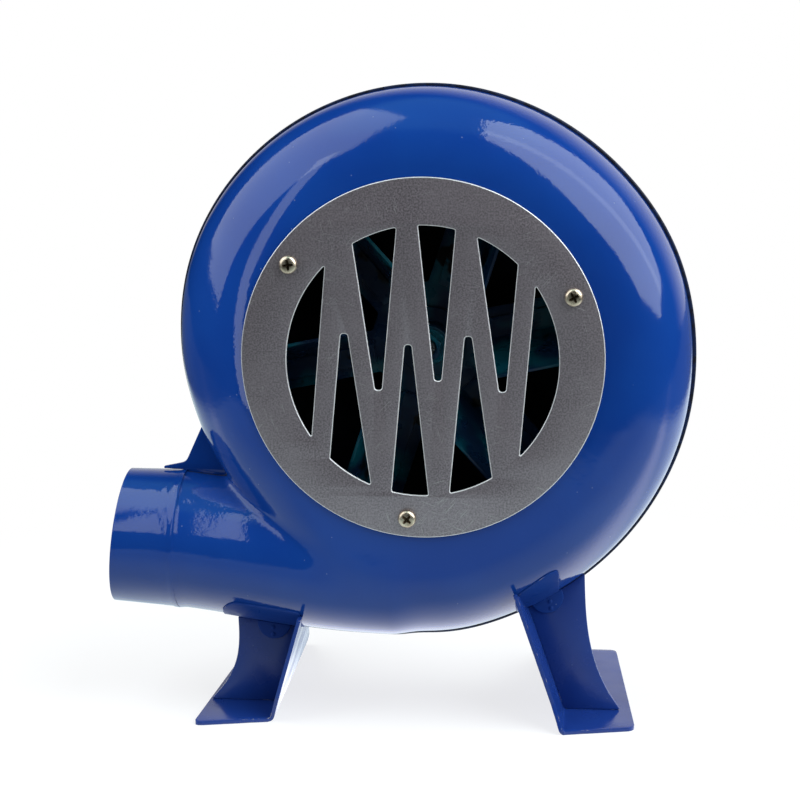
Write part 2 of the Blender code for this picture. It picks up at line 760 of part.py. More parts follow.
def foot_outline(leg):
    """Foot flange seen from above as (across, depth), with a slanted front and a tapered rear."""
    inner = leg["foot_x"]
    outer = inner + leg["foot_width"]
    slant = FOOT_SLANT / 2 * leg["slant_sign"]
    return [
        (inner, leg["front"] - slant),
        (outer, leg["front"] + slant),
        (outer - FOOT_TAPER, LEG_BACK),
        (inner, LEG_BACK),
    ]


def leg_bracket(name, leg, material):
    """Bent bracket: leaning side plate and foot flange in one piece of sheet."""
    side = leg["side"]

    def place(across, depth, z):
        return Vector((side * across, depth, z))

    foot = prism([foot_outline(leg)], -AXIS_HEIGHT, -AXIS_HEIGHT + LEG_SHEET, place)
    thing = object_from(name, foot, material)
    return add(thing, side_plate_builder(leg))


def web_plate(name, leg, material):
    """Upright web behind the front edge, with a concave outer edge."""
    foot = -AXIS_HEIGHT + LEG_SHEET + GAP
    web_back = WEB_FRONT + LEG_SHEET
    top_x = leg["web_top_x"]
    start_x, start_z = meeting(leg, web_back)
    strip_far = strip_ends(leg)[1] + GAP
    outline = [(leg_outer_x(leg, foot) + GAP, foot), (start_x, start_z)]
    for i in range(1, 5):
        across = start_x + (top_x - start_x) * i / 4
        drop = UNDER_STRIP if across <= strip_far else LEG_CLEARANCE
        outline.append((across, hug(leg, across, web_back, drop)))
    top_z = outline[-1][1]
    for i in range(1, 7):
        t = i / 7
        across = top_x + (leg["web_foot_x"] - top_x) * t**3 + leg["web_waist"] * math.sin(math.pi * t)
        outline.append((across, top_z + (foot - top_z) * t))
    outline.append((leg["web_foot_x"], foot))
    side = leg["side"]

    def place(across, z, depth):
        return Vector((side * across, depth, z))

    return object_from(name, prism([outline], WEB_FRONT, web_back, place), material)


def clip(name, leg, material):
    """Saddle strip that hugs the housing, with a half-round ear lying on the web."""
    side = leg["side"]
    rings = []
    stations = 6
    start, end = strip_ends(leg)
    for i in range(stations + 1):
        across = start + (end - start) * i / stations
        upper = []
        lower = []
        for k in range(5):
            depth = STRIP_FRONT + (STRIP_BACK - STRIP_FRONT) * k / 4
            z = hug(leg, across, depth, GAP)
            upper.append(Vector((side * across, depth, z)))
            lower.append(Vector((side * across, depth, z - STRIP_SHEET)))
        rings.append(upper + lower[::-1])
    thing = object_from(name, loft(rings), material)
    ear_back = WEB_FRONT - GAP
    ear_front = ear_back - STRIP_SHEET
    centre_x = meeting(leg, ear_back)[0] + leg["ear_offset"]
    centre_z = hug(leg, centre_x, ear_back, GAP + STRIP_SHEET / 2)
    near, far = (hug(leg, centre_x + offset, ear_back, 0.0) for offset in (-EAR_RADIUS, EAR_RADIUS))
    tilt = math.atan2(far - near, 2 * EAR_RADIUS)
    outline = []
    for i in range(9):
        angle = tilt - math.pi * i / 8
        outline.append((centre_x + EAR_RADIUS * math.cos(angle), centre_z + EAR_RADIUS * math.sin(angle)))

    def place(across, z, depth):
        return Vector((side * across, depth, z))

    return add(thing, prism([outline], ear_front, ear_back, place))


def case_circles(margin):
    """Circles that the gear case goes round: drive wheel, idler wheel and bearing flange."""
    drive = WHEEL_TEETH * DRIVE_MODULE / 2 + DRIVE_MODULE
    idler = WHEEL_TEETH * IDLER_MODULE / 2 + IDLER_MODULE
    return [
        (CRANK_CENTRE, drive + margin),
        (IDLER_CENTRE, idler + margin),
        ((0.0, 0.0), HOUSING_FLANGE_RADIUS + margin / 2),
    ]


def belt_outline(circles):
    """Outline of a belt round several circles: the convex hull of points on them."""
    points = []
    for centre, radius in circles:
        points += circle(centre, radius, ROUND_SEGMENTS)
    points = sorted(set(points))
    hull = []
    for chain in (points, points[::-1]):
        start = len(hull)
        for point in chain:
            while len(hull) - start >= 2:
                (ax, az), (bx, bz) = hull[-2], hull[-1]
                if (bx - ax) * (point[1] - az) - (bz - az) * (point[0] - ax) > 0:
                    break
                hull.pop()
            hull.append(point)
        hull.pop()
    return hull


def cover_screw_centres():
    reach = COVER_SHEET + COVER_FLANGE / 2
    drive, idler, _ = case_circles(COVER_MARGIN)
    centres = []
    for (centre, radius), degrees in ((drive, 100.0), (drive, 195.0), (idler, 15.0), (idler, 262.0)):
        angle = math.radians(degrees)
        distance = radius + reach
        centres.append((centre[0] + distance * math.cos(angle), centre[1] + distance * math.sin(angle)))
    return centres


def screw_hole_loops():
    return [circle(c, SCREW_SHANK_RADIUS + GAP, HOLE_SEGMENTS) for c in cover_screw_centres()]


def gear_plate(material):
    outline = belt_outline(case_circles(COVER_MARGIN + COVER_SHEET + COVER_FLANGE))
    loops = [outline] + screw_hole_loops()
    loops.append(circle((0.0, 0.0), HOUSING_RADIUS + GAP, ROUND_SEGMENTS))
    loops.append(circle(CRANK_CENTRE, CRANK_SHAFT_RADIUS + BUSH_WALL + GAP, SMALL_SEGMENTS))
    loops.append(circle(IDLER_CENTRE, IDLER_SHAFT_RADIUS + BUSH_WALL + GAP, SMALL_SEGMENTS))
    return object_from("gear_plate", prism(loops, PLATE_FRONT, PLATE_BACK), material)


def case_gasket(material):
    outline = belt_outline(case_circles(COVER_MARGIN + COVER_SHEET + COVER_FLANGE))
    inner = belt_outline(case_circles(COVER_MARGIN))
    front = PLATE_BACK + GAP
    ring = prism([outline, inner] + screw_hole_loops(), front, front + GASKET)
    return object_from("case_gasket", ring, material)


def gear_cover(material):
    """Pressed cover: a flange on the gasket and a belt-shaped cup over both wheels."""
    flange = belt_outline(case_circles(COVER_MARGIN + COVER_SHEET + COVER_FLANGE))
    wall = belt_outline(case_circles(COVER_MARGIN + COVER_SHEET))
    room = belt_outline(case_circles(COVER_MARGIN))
    flange_back = COVER_FRONT + COVER_SHEET
    rim = prism([flange] + screw_hole_loops(), COVER_FRONT, flange_back)
    thing = object_from("gear_cover", rim, material)
    add(thing, prism([wall], COVER_FRONT + COVER_SHEET / 2, COVER_BACK))
    beyond = COVER_BACK + OVERLAP
    return cut(
        thing,
        prism([room], COVER_FRONT - OVERLAP, COVER_INNER),
        disc(CRANK_CENTRE, CRANK_SHAFT_RADIUS + BUSH_WALL + GAP, COVER_INNER - OVERLAP, beyond, SMALL_SEGMENTS),
        disc(IDLER_CENTRE, IDLER_SHAFT_RADIUS + BUSH_WALL + GAP, COVER_INNER - OVERLAP, beyond, SMALL_SEGMENTS),
    )


def bush(name, centre, bore_shaft, seat, far, direction, material):
    """Flanged bush: the flange lies on a seat plane, the sleeve runs to a far end."""
    bore = bore_shaft + GAP
    sleeve = bore_shaft + BUSH_WALL
    rim = sleeve + BUSH_FLANGE_RIM
    flange_end = seat + direction * BUSH_FLANGE
    profile = [(bore, far), (sleeve, far), (sleeve, seat), (rim, seat), (rim, flange_end), (bore, flange_end)]
    return object_from(name, turned(centre, profile, SMALL_SEGMENTS), material)


def bearing_housing(material):
    front = SEAT_FRONT + HOUSING_FLANGE - HOUSING_DEPTH
    back = SEAT_FRONT + HOUSING_FLANGE
    bore = BEARING_RADIUS + GAP
    profile = [
        (HOUSING_LIP_RADIUS, front),
        (HOUSING_RADIUS, front),
        (HOUSING_RADIUS, SEAT_FRONT),
        (HOUSING_FLANGE_RADIUS, SEAT_FRONT),
        (HOUSING_FLANGE_RADIUS, back),
        (bore, back),
        (bore, front + HOUSING_LIP),
        (HOUSING_LIP_RADIUS, front + HOUSING_LIP),
    ]
    return object_from("bearing_housing", turned((0.0, 0.0), profile), material)


def bearing_planes():
    """Front planes of the two bearings and the spacer between them."""
    front = SEAT_FRONT + HOUSING_FLANGE - HOUSING_DEPTH + HOUSING_LIP + GAP
    rear = SEAT_FRONT + HOUSING_FLANGE - BEARING_WIDTH
    return front, rear


def ring_piece(name, centre, inner, outer, near, far, material, parent=None):
    profile = [(inner, near), (outer, near), (outer, far), (inner, far)]
    return object_from(name, turned(centre, profile), material, parent)


def gear_outline(centre, teeth, module, addendum, phase, flank_radii):
    """Involute teeth about a centre. A tooth is centred on the phase angle."""
    pitch = teeth * module / 2
    base = pitch * math.cos(PRESSURE_ANGLE)
    tip = pitch + addendum * module
    root = pitch - DEDENDUM * module
    involute = math.tan(PRESSURE_ANGLE) - PRESSURE_ANGLE
    half = math.pi / (2 * teeth) - BACKLASH / (4 * pitch)
    radii = [root] + [base + (tip - base) * share for share in flank_radii]

    def half_angle(radius):
        roll = math.acos(min(1.0, base / radius))
        return half + involute - (math.tan(roll) - roll)

    points = []
    for i in range(teeth):
        middle = phase + 2 * math.pi * i / teeth
        rising = [(r, middle - half_angle(max(r, base))) for r in radii]
        falling = [(r, middle + half_angle(max(r, base))) for r in reversed(radii)]
        for radius, angle in rising + falling:
            points.append((centre[0] + radius * math.cos(angle), centre[1] + radius * math.sin(angle)))
    return points


def wheel(name, centre, module, phase, shaft_radius, near, material, parent):
    """Large gear whose face starts at a depth and whose tooth points at the phase angle."""
    outline = gear_outline(centre, WHEEL_TEETH, module, WHEEL_ADDENDUM, phase, (1.0,))
    loops = [outline, circle(centre, shaft_radius + GAP, SMALL_SEGMENTS)]
    return object_from(name, prism(loops, near, near + GEAR_FACE), material, parent)


def pinion(name, centre, module, phase, shaft_radius, near, far, material, parent):
    """Small gear between two depths, with finer flanks than the wheel."""
    outline = gear_outline(centre, PINION_TEETH, module, PINION_ADDENDUM, phase, (0.0, PINION_KNEE, 1.0))
    loops = [outline, circle(centre, shaft_radius + GAP, SMALL_SEGMENTS)]
    return object_from(name, prism(loops, near, far), material, parent)


def direction_angle(start, end):
    return math.atan2(end[1] - start[1], end[0] - start[0])


def gear_train(material, crank, idler, impeller):
    """Wheels and pinions, each set in mesh with its mate at rest."""
    half_tooth = math.pi / WHEEL_TEETH
    turn = direction_angle(CRANK_CENTRE, IDLER_CENTRE)
    wheel("drive_gear", CRANK_CENTRE, DRIVE_MODULE, turn + half_tooth, CRANK_SHAFT_RADIUS, DRIVE_FRONT,
          material, crank)
    pinion("idler_pinion", IDLER_CENTRE, DRIVE_MODULE, turn + math.pi, IDLER_SHAFT_RADIUS,
           IDLER_BACK + GAP, DRIVE_BACK + PINION_EXTRA, material, idler)
    origin = (0.0, 0.0)
    turn = direction_angle(IDLER_CENTRE, origin)
    wheel("idler_gear", IDLER_CENTRE, IDLER_MODULE, turn + half_tooth, IDLER_SHAFT_RADIUS, IDLER_FRONT,
          material, idler)
    pinion("impeller_pinion", origin, IDLER_MODULE, turn + math.pi, PINION_SEAT_RADIUS,
           IDLER_FRONT - PINION_EXTRA, IDLER_BACK + PINION_EXTRA, material, impeller)


def impeller_pieces(paint, steel, parent):
    """Six bent paddles on a star-shaped spider, clamped on the shaft by a hub, washer and nut."""
    origin = (0.0, 0.0)
    spider_front = SPIDER_BACK - SPIDER_SHEET
    outline = []
    for i in range(BLADE_COUNT):
        middle = BLADE_START + 2 * math.pi * i / BLADE_COUNT
        half_core = math.asin(ARM_WIDTH / 2 / SPIDER_CORE)
        half_tip = math.asin(ARM_WIDTH / 2 / IMPELLER_RADIUS)
        for radius, angle in (
            (SPIDER_CORE, middle - half_core),
            (IMPELLER_RADIUS, middle - half_tip),
            (IMPELLER_RADIUS, middle + half_tip),
            (SPIDER_CORE, middle + half_core),
        ):
            outline.append((radius * math.cos(angle), radius * math.sin(angle)))
    spider = prism([outline, circle(origin, SPIGOT_RADIUS + GAP, SMALL_SEGMENTS)], spider_front, SPIDER_BACK)
    object_from("impeller_disc", spider, paint, parent)
    for i in range(BLADE_COUNT):
        blade(i, spider_front - GAP, paint, parent)
    bore = IMPELLER_SHAFT_RADIUS + GAP
    flange_back = spider_front - GAP
    flange_front = flange_back - HUB_FLANGE_THICKNESS
    hub_front = flange_back - HUB_LENGTH
    profile = [
        (bore, hub_front),
        (HUB_RADIUS, hub_front),
        (HUB_RADIUS, flange_front),
        (HUB_FLANGE_RADIUS, flange_front),
        (HUB_FLANGE_RADIUS, flange_back),
        (SPIGOT_RADIUS, flange_back),
        (SPIGOT_RADIUS, SPIDER_BACK),
        (bore, SPIDER_BACK),
    ]
    object_from("impeller_hub", turned(origin, profile, SMALL_SEGMENTS), steel, parent)
    washer_back = hub_front - GAP
    washer_front = washer_back - WASHER_THICKNESS
    washer_rim = HUB_RADIUS - THREAD_STEP
    ring_piece("impeller_washer", origin, bore, washer_rim, washer_front, washer_back, steel, parent)
    nut_back = washer_front - GAP
    loops = [hexagon(origin, IMPELLER_NUT_FLATS), circle(origin, bore, SMALL_SEGMENTS)]
    object_from("impeller_nut", prism(loops, nut_back - NUT_HEIGHT, nut_back), steel, parent)
    front_bearing, _ = bearing_planes()
    spacer_front = SPIDER_BACK + GAP
    ring_piece("impeller_spacer", origin, bore, SPIGOT_RADIUS, spacer_front, front_bearing - GAP, steel, parent)
    shaft_step = SEAT_FRONT + HOUSING_FLANGE + GAP
    shaft = [
        (IMPELLER_SHAFT_RADIUS, nut_back - NUT_HEIGHT - THREAD_END),
        (IMPELLER_SHAFT_RADIUS, shaft_step),
        (PINION_SEAT_RADIUS, shaft_step),
        (PINION_SEAT_RADIUS, IDLER_BACK + PINION_EXTRA + GAP),
    ]
    object_from("impeller_shaft", solid_turned(origin, shaft, SMALL_SEGMENTS), steel, parent)


def blade(index, foot_back, paint, parent):
    """One bent paddle: a foot on the spider arm and a leaning face towards the intake."""
    angle = BLADE_START + 2 * math.pi * index / BLADE_COUNT
    outward = Vector((math.cos(angle), 0.0, math.sin(angle)))
    across = Vector((-math.sin(angle), 0.0, math.cos(angle)))
    front = foot_back - BLADE_DEPTH
    drift = BLADE_DEPTH * math.tan(BLADE_LEAN)
    outline = [
        (0.0, foot_back),
        (BLADE_FOOT, foot_back),
        (BLADE_FOOT, foot_back - BLADE_SHEET),
        (BLADE_SHEET, foot_back - BLADE_SHEET),
        (BLADE_SHEET - drift, front),
        (-drift, front),
    ]
    start = -BLADE_FOOT / 2

    def place(u, depth, along):
        return outward * along + across * (start + u) + Vector((0.0, depth, 0.0))

    reach = math.sqrt(IMPELLER_RADIUS**2 - (BLADE_FOOT / 2) ** 2)
    object_from(f"blade_{index + 1}", prism([outline], BLADE_INNER, reach, place), paint, parent)


def crank_pieces(steel, plated, parent):
    shaft_front = PLATE_BACK - GEAR_PLATE / 2
    nut_front = ARM_BACK + GAP
    nut_back = nut_front + CRANK_NUT_HEIGHT
    profile = [
        (CRANK_SHAFT_RADIUS, shaft_front),
        (CRANK_SHAFT_RADIUS, ARM_BACK - THREAD_STEP),
        (CRANK_SHAFT_RADIUS - THREAD_STEP, ARM_BACK - THREAD_STEP),
        (CRANK_SHAFT_RADIUS - THREAD_STEP, nut_back + THREAD_END),
    ]
    object_from("crank_shaft", solid_turned(CRANK_CENTRE, profile, SMALL_SEGMENTS), steel, parent)
    washer_front = CRANK_BUSH_BACK + GAP
    ring_piece("crank_washer", CRANK_CENTRE, CRANK_SHAFT_RADIUS + GAP, ARM_HUB_RADIUS - THREAD_STEP,
               washer_front, washer_front + CRANK_WASHER, plated, parent)
    arm = belt_outline([(CRANK_CENTRE, ARM_HUB_RADIUS), (GRIP_CENTRE, ARM_END_RADIUS)])
    holes = [
        circle(CRANK_CENTRE, CRANK_SHAFT_RADIUS + GAP, SMALL_SEGMENTS),
        circle(GRIP_CENTRE, GRIP_PIN_RADIUS + GAP, SMALL_SEGMENTS),
    ]
    object_from("crank_arm", prism([arm] + holes, ARM_FRONT, ARM_BACK), plated, parent)
    bore = circle(CRANK_CENTRE, CRANK_SHAFT_RADIUS - THREAD_STEP + GAP, SMALL_SEGMENTS)
    nut = prism([hexagon(CRANK_CENTRE, CRANK_NUT_FLATS), bore], nut_front, nut_back)
    object_from("crank_nut", nut, plated, parent)
    grip_front = ARM_BACK + GAP
    head_front = grip_front + GRIP_LENGTH + GAP
    pin_nut_back = ARM_FRONT - GAP
    pin_nut_front = pin_nut_back - NUT_HEIGHT
    pin = [
        (GRIP_PIN_RADIUS, pin_nut_front - THREAD_END),
        (GRIP_PIN_RADIUS, head_front),
        (GRIP_PIN_HEAD, head_front),
        (GRIP_PIN_HEAD, head_front + GRIP_PIN_HEAD_HEIGHT * 0.6),
        (GRIP_PIN_HEAD * 0.7, head_front + GRIP_PIN_HEAD_HEIGHT),
    ]
    object_from("grip_pin", solid_turned(GRIP_CENTRE, pin, SMALL_SEGMENTS), plated, parent)
    bore = circle(GRIP_CENTRE, GRIP_PIN_RADIUS + GAP, SMALL_SEGMENTS)
    object_from("grip_nut", prism([hexagon(GRIP_CENTRE, GRIP_NUT_FLATS), bore], pin_nut_front, pin_nut_back),
                plated, parent)


def grip_piece(material, parent):
    """Barrel-shaped grip that spins on its pin."""
    front = ARM_BACK + GAP
    back = front + GRIP_LENGTH
    bore = GRIP_PIN_RADIUS + GAP
    edge = GRIP_LENGTH / 20
    profile = [
        (bore, front),
        (GRIP_WAIST - edge / 2, front),
        (GRIP_WAIST, front + edge),
        (GRIP_RADIUS, front + GRIP_LENGTH * 0.4),
        (GRIP_RADIUS, front + GRIP_LENGTH * 0.7),
        (GRIP_WAIST, back - edge),
        (GRIP_WAIST - edge, back),
        (bore, back),
    ]
    object_from("grip", turned(GRIP_CENTRE, profile), material, parent)


def idler_shaft(material, parent):
    front = PLATE_BACK - GEAR_PLATE / 2
    back = COVER_BACK + GAP + BUSH_FLANGE / 2
    profile = [(IDLER_SHAFT_RADIUS, front), (IDLER_SHAFT_RADIUS, back)]
    object_from("idler_shaft", solid_turned(IDLER_CENTRE, profile, SMALL_SEGMENTS), material, parent)


def bearing_pieces(steel):
    """Two bearings in their housing, with a spacer between their outer rings."""
    front, rear = bearing_planes()
    origin = (0.0, 0.0)
    bore = IMPELLER_SHAFT_RADIUS + GAP
    ring_piece("bearing_front", origin, bore, BEARING_RADIUS, front, front + BEARING_WIDTH, steel)
    ring_piece("bearing_rear", origin, bore, BEARING_RADIUS, rear, rear + BEARING_WIDTH, steel)
    near = front + BEARING_WIDTH + GAP
    ring_piece("bearing_spacer", origin, HOUSING_LIP_RADIUS, BEARING_RADIUS, near, rear - GAP, steel)


def bush_pieces(material):
    inner = PLATE_FRONT + GAP
    beyond = COVER_INNER - BUSH_FLANGE / 2
    bush("crank_bush_front", CRANK_CENTRE, CRANK_SHAFT_RADIUS, SEAT_FRONT, inner, 1, material)
    bush("idler_bush_front", IDLER_CENTRE, IDLER_SHAFT_RADIUS, SEAT_FRONT, inner, 1, material)
    bush("crank_bush_rear", CRANK_CENTRE, CRANK_SHAFT_RADIUS, COVER_BACK + GAP, beyond, 1, material)
    bush("idler_bush_rear", IDLER_CENTRE, IDLER_SHAFT_RADIUS, COVER_BACK + GAP, beyond, 1, material)


def stand_on_floor():
    """Move the whole blower so that the middle of its base is the origin."""
    bpy.context.view_layer.update()
    corners = []
    for thing in bpy.context.scene.objects:
        if thing.type == "MESH":
            corners += [thing.matrix_world @ vert.co for vert in thing.data.vertices]
    low = [min(c[k] for c in corners) for k in range(3)]
    high = [max(c[k] for c in corners) for k in range(3)]
    shift = Matrix.Translation((-(low[0] + high[0]) / 2, -(low[1] + high[1]) / 2, -low[2]))
    for thing in bpy.context.scene.objects:
        if thing.parent is None:
            thing.matrix_world = shift @ thing.matrix_world
    bpy.context.view_layer.update()


def main():
    clear_scene()
    blue = blue_paint()
    plated = plated_steel()
    steel = bright_steel()
    gears = gear_steel()
    front_shell(blue)
    back_shell(blue)
    outlet_sleeve(blue)
    grille_plate(zinc_sheet())
    for i, centre in enumerate(screw_centres()):
        cross_screw(f"grille_screw_{i + 1}", centre, GRILLE_FRONT, -1, SCREW_LENGTH, plated)
    for name, leg in (("left", LEFT_LEG), ("right", RIGHT_LEG)):
        leg_bracket(f"leg_{name}", leg, blue)
        web_plate(f"web_{name}", leg, blue)
        clip(f"clip_{name}", leg, blue)
    gear_plate(steel)
    case_gasket(gasket_paper())
    gear_cover(blue)
    for i, centre in enumerate(cover_screw_centres()):
        seat = COVER_FRONT + COVER_SHEET
        cross_screw(f"cover_screw_{i + 1}", centre, seat, 1, COVER_SCREW_LENGTH, plated)
    bearing_housing(steel)
    bearing_pieces(steel)
    bush_pieces(bronze())
    crank = axle_empty("crank_axis", CRANK_CENTRE)
    grip_axis = axle_empty("grip_axis", GRIP_CENTRE)
    idler = axle_empty("idler_axis", IDLER_CENTRE)
    impeller = axle_empty("impeller_axis", (0.0, 0.0))
    grip_axis.parent = crank
    grip_axis.matrix_parent_inverse = crank.matrix_world.inverted()
    bpy.context.view_layer.update()
    gear_train(gears, crank, idler, impeller)
    idler_shaft(steel, idler)
    crank_pieces(steel, plated, crank)
    grip_piece(black_plastic(), grip_axis)
    impeller_pieces(impeller_paint(), steel, impeller)
    stand_on_floor()


main()
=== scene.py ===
"""Looks of a hand crank blower: glossy blue snail housing, zinc grille, sheet legs and geared crank.

Sizes are millimetres in the blower's own frame: the impeller axis is x = 0, z = 0 along Y, the seam of the
housing is y = 0 and the intake faces -Y. placed() turns such points into the frame's metres.
"""
import json
import math

import bmesh
import bpy
import numpy as np
from mathutils import Matrix, Vector
from mathutils.geometry import tessellate_polygon


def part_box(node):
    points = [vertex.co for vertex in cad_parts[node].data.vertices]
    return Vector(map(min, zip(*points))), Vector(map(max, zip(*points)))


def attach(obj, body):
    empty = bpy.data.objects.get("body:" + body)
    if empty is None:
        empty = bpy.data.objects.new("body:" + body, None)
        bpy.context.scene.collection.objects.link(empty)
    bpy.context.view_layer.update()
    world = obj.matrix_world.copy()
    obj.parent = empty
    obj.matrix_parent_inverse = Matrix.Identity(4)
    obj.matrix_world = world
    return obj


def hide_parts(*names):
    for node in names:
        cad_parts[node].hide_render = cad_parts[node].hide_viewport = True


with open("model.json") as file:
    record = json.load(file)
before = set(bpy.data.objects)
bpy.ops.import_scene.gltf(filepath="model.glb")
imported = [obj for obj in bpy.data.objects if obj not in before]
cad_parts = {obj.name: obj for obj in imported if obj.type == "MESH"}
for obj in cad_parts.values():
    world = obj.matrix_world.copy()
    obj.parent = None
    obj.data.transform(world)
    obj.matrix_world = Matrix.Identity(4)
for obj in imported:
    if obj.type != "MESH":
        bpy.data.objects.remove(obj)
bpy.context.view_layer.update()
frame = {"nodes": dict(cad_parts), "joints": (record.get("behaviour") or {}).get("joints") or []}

MM = 0.001
HALF_GAP = 0.15
MERGE_DISTANCE = 0.000002
SHARP_FROM = 32.0
EDGE_FROM = 50.0
MIX_SHARE, MIX_FIRST, MIX_SECOND, MIX_RESULT = 0, 6, 7, 2

# Housing
SHEET = 1.0
FRONT_DEPTH = 32.0
BACK_DEPTH = 38.0
SHOULDER = 30.0
RIM_RADII = (
    104.4, 103.6, 102.2, 102.2, 102.7, 102.4, 101.7, 100.7,
    98.7, 97.2, 98.6, 112.0, 116.1, 112.4, 109.3, 106.7,
)
FRONT_SHRINK = 0.3
EYE_RADIUS = 57.0
LIP_OUT = 0.75
LIP_SIDE = 0.45
LIP_LOW = 1.35
LIP_ON_DUCT = 0.05
LIP_DEPTH = 2.8
LIP_ROOT = -0.6
LIP_START = -0.1
LIP_ROUNDS = (0.2, 0.7, 0.9, 0.2)
LIP_FADE_X = (-50.0, -85.0)
LIP_FADE_Z = (-35.0, -50.0)
FIELD_BOTTOM = -124.0
FIELD_TOP = 110.0
FIELD_RIGHT = 112.0
SLOPE_STEP = 0.05
UNDERSIDE_RANGE = (-130.0, -60.0)
HALVINGS = 24
NET_STEP = 1.5

# Outlet duct
CREASE_X = -100.0
CREASE_Z = -80.5
DUCT_RADIUS = 28.0
DUCT_INNER_X = -14.0
DUCT_INNER_TOP = -62.0
DUCT_INNER_BOTTOM = -117.2
DUCT_BOTTOM_POWER = 1.25
DUCT_SQUARENESS = 0.25
DUCT_CREST = 31.5
DUCT_SINKING = 0.5
DUCT_EASE = 8.0
DUCT_DEEPENING = 1.6
DUCT_GROWTH = 2.0
VALLEY_BLEND = 5.0
OUTLET_RISE = math.radians(2.4)
OUTLET_CUT = math.radians(3.5)
NECK_LENGTH = 8.0
NECK_STEP = 1.3
SLEEVE_LENGTH = 24.5
SLEEVE_END_RADIUS = 27.1

# Web in the corner over the outlet, lap and ridge of the outlet tube
GUSSET_GAP = 0.3
GUSSET_SINK = 1.5
GUSSET_OVERLAP = 0.5
GUSSET_RIGHT = -60.0
GUSSET_BELOW = 3.0
GUSSET_REACH = 9.0
GUSSET_EDGE = 0.8
GUSSET_BEND = 3.4
GUSSET_RISE = 19.0
GUSSET_THICKNESS = 2.0
GUSSET_EASE = 0.35
OUTLET_LAP = 0.8
SLEEVE_WALL = 1.0
SLEEVE_PROUD = 0.05
RIDGE_END = 5.0
RIDGE = 0.35
RIDGE_WIDTH = 1.5

# Paint
PEEL_DEPTH = 0.045
DENT_START = -60.0
DENT_FULL = -80.0

# Grille and screws
GRILLE_RADIUS = 69.8
GRILLE_EDGE = 0.32
SLOT_CIRCLE = 52.3
SLOT_CENTRE_Z = -0.8
SLOT_TIP = 1.3
SLOT_CORNER = 0.6
FLAT_FROM = 0.995
UPPER_SLOTS = ((-16.8, -12.0, -26.6, -10.0), (6.1, -8.1, -1.7, 12.5), (30.8, -12.0, 20.8, 36.2))
LOWER_SLOTS = ((-30.0, 9.7, -35.6, -19.8), (-5.4, 5.7, -11.7, 2.5), (17.6, 9.2, 10.8, 27.0))
CRESCENTS = ((-37.3, -42.8), (43.0, 37.6))
SCREW_HEAD_RADIUS = 3.5
SCREW_HEAD_HEIGHT = 2.2
SCREW_SHANK = 2.0
SCREW_TURNS = (0.15, 0.5, 0.85)
COVER_SCREW_TURN = 0.4
SCREW_POINT = 1.6
SCREW_THREADS = 6
SCREW_THREAD_START = 1.8
SCREW_THREAD_STEP = 0.7
SCREW_THREAD_DROP = 0.3
SCREW_THREAD_FLANK = 0.35
RECESS_REACH = 0.60
RECESS_DEPTH = 1.9

# Legs
AXIS_HEIGHT = 148.5
LEG_SHEET = 1.5
SHEET_EASE = 0.3
LEG_BACK = 76.0
FOOT_SLANT = 7.5
FOOT_TAPER = 6.5
FOOT_CORNER = 3.2
REAR_UPSTAND = 5.0
LEG_NECK_DEPTH = 3.0
LEG_NECK_HEIGHT = 30.5
LEG_ARCH_RISE = 3.0
LEG_CLEARANCE = 0.3
BEND_RADIUS = 2.6
FRONT_BLEND = 9.0
EAR_RADIUS = 6.8
STRIP_SHEET = 0.8
UNDER_STRIP = 0.6
STRIP_BACK = -6.0
STRIP_CORNER = 8.0
STRIP_SINK = 0.35
WEB_GAP = 0.05
LEG_GAP = 0.1
EAR_EASE = 0.4
STRIP_GAP = 0.3
LEG_TIP = 1.5
WELD_DOT = ((0.95, -0.3), (0.95, 0.05), (0.7, 0.28), (0.3, 0.4))
RIGHT_LEG = {
    "side": 1,
    "front": -29.9,
    "top_step": 12.5,
    "foot_x": 54.7,
    "lean": math.radians(19.2),
    "foot_width": 29.5,
    "web_node": "web_right",
    "web_top_x": 63.3,
    "web_waist": 0.6,
    "web_foot_x": 78.6,
    "web_corner": 1.5,
    "strip_lap": 3.0,
    "strip_front": -25.0,
    "strip_slant": -2.0,
    "strip_length": 16.9,
    "round_start": 0.15,
    "round_end": 0.35,
    "ear_offset": 7.2,
    "ear_raise": 0.8,
    "weld_dots": ((1.5, -1.8), (1.9, -4.6)),
    "slant_sign": 1,
}
LEFT_LEG = {
    "side": -1,
    "front": -31.2,
    "top_step": 10.0,
    "foot_x": 60.0,
    "lean": math.radians(15.6),
    "foot_width": 30.5,
    "web_node": "web_left",
    "web_top_x": 77.0,
    "web_waist": -0.6,
    "web_foot_x": 88.6,
    "web_corner": 2.5,
    "strip_lap": 1.0,
    "strip_front": -26.0,
    "strip_slant": 2.7,
    "strip_length": 32.3,
    "round_start": 0.1,
    "round_end": 1.0,
    "ear_offset": 10.0,
    "ear_raise": 0.0,
    "weld_dots": ((0.5, -1.9), (0.5, -4.8)),
    "slant_sign": -1,
}

# Impeller
BLADE_COUNT = 6
BLADE_START = math.radians(12.0)
IMPELLER_RADIUS = 72.0
BLADE_INNER = 23.0
BLADE_DEPTH = 35.0
BLADE_SHEET = 1.2
BLADE_FOOT = 9.0
BLADE_LEAN = math.radians(16.0)
SPIDER_CORE = 24.0
ARM_WIDTH = 17.0
ARM_ROOT_ROUND = 2.0
ARM_TIP_ROUND = 3.0
BLADE_BEND = 2.4
BLADE_ROUND = 4.0
HUB_RADIUS = 8.0
HUB_FLANGE_RADIUS = 14.0
HUB_FLANGE_THICKNESS = 1.8
SPIGOT_RADIUS = 5.0
IMPELLER_SHAFT_RADIUS = 3.0
IMPELLER_NUT_FLATS = 10.0
IMPELLER_EASE = 0.2
CLEARANCE = 0.3
NUT_EASE = 0.12

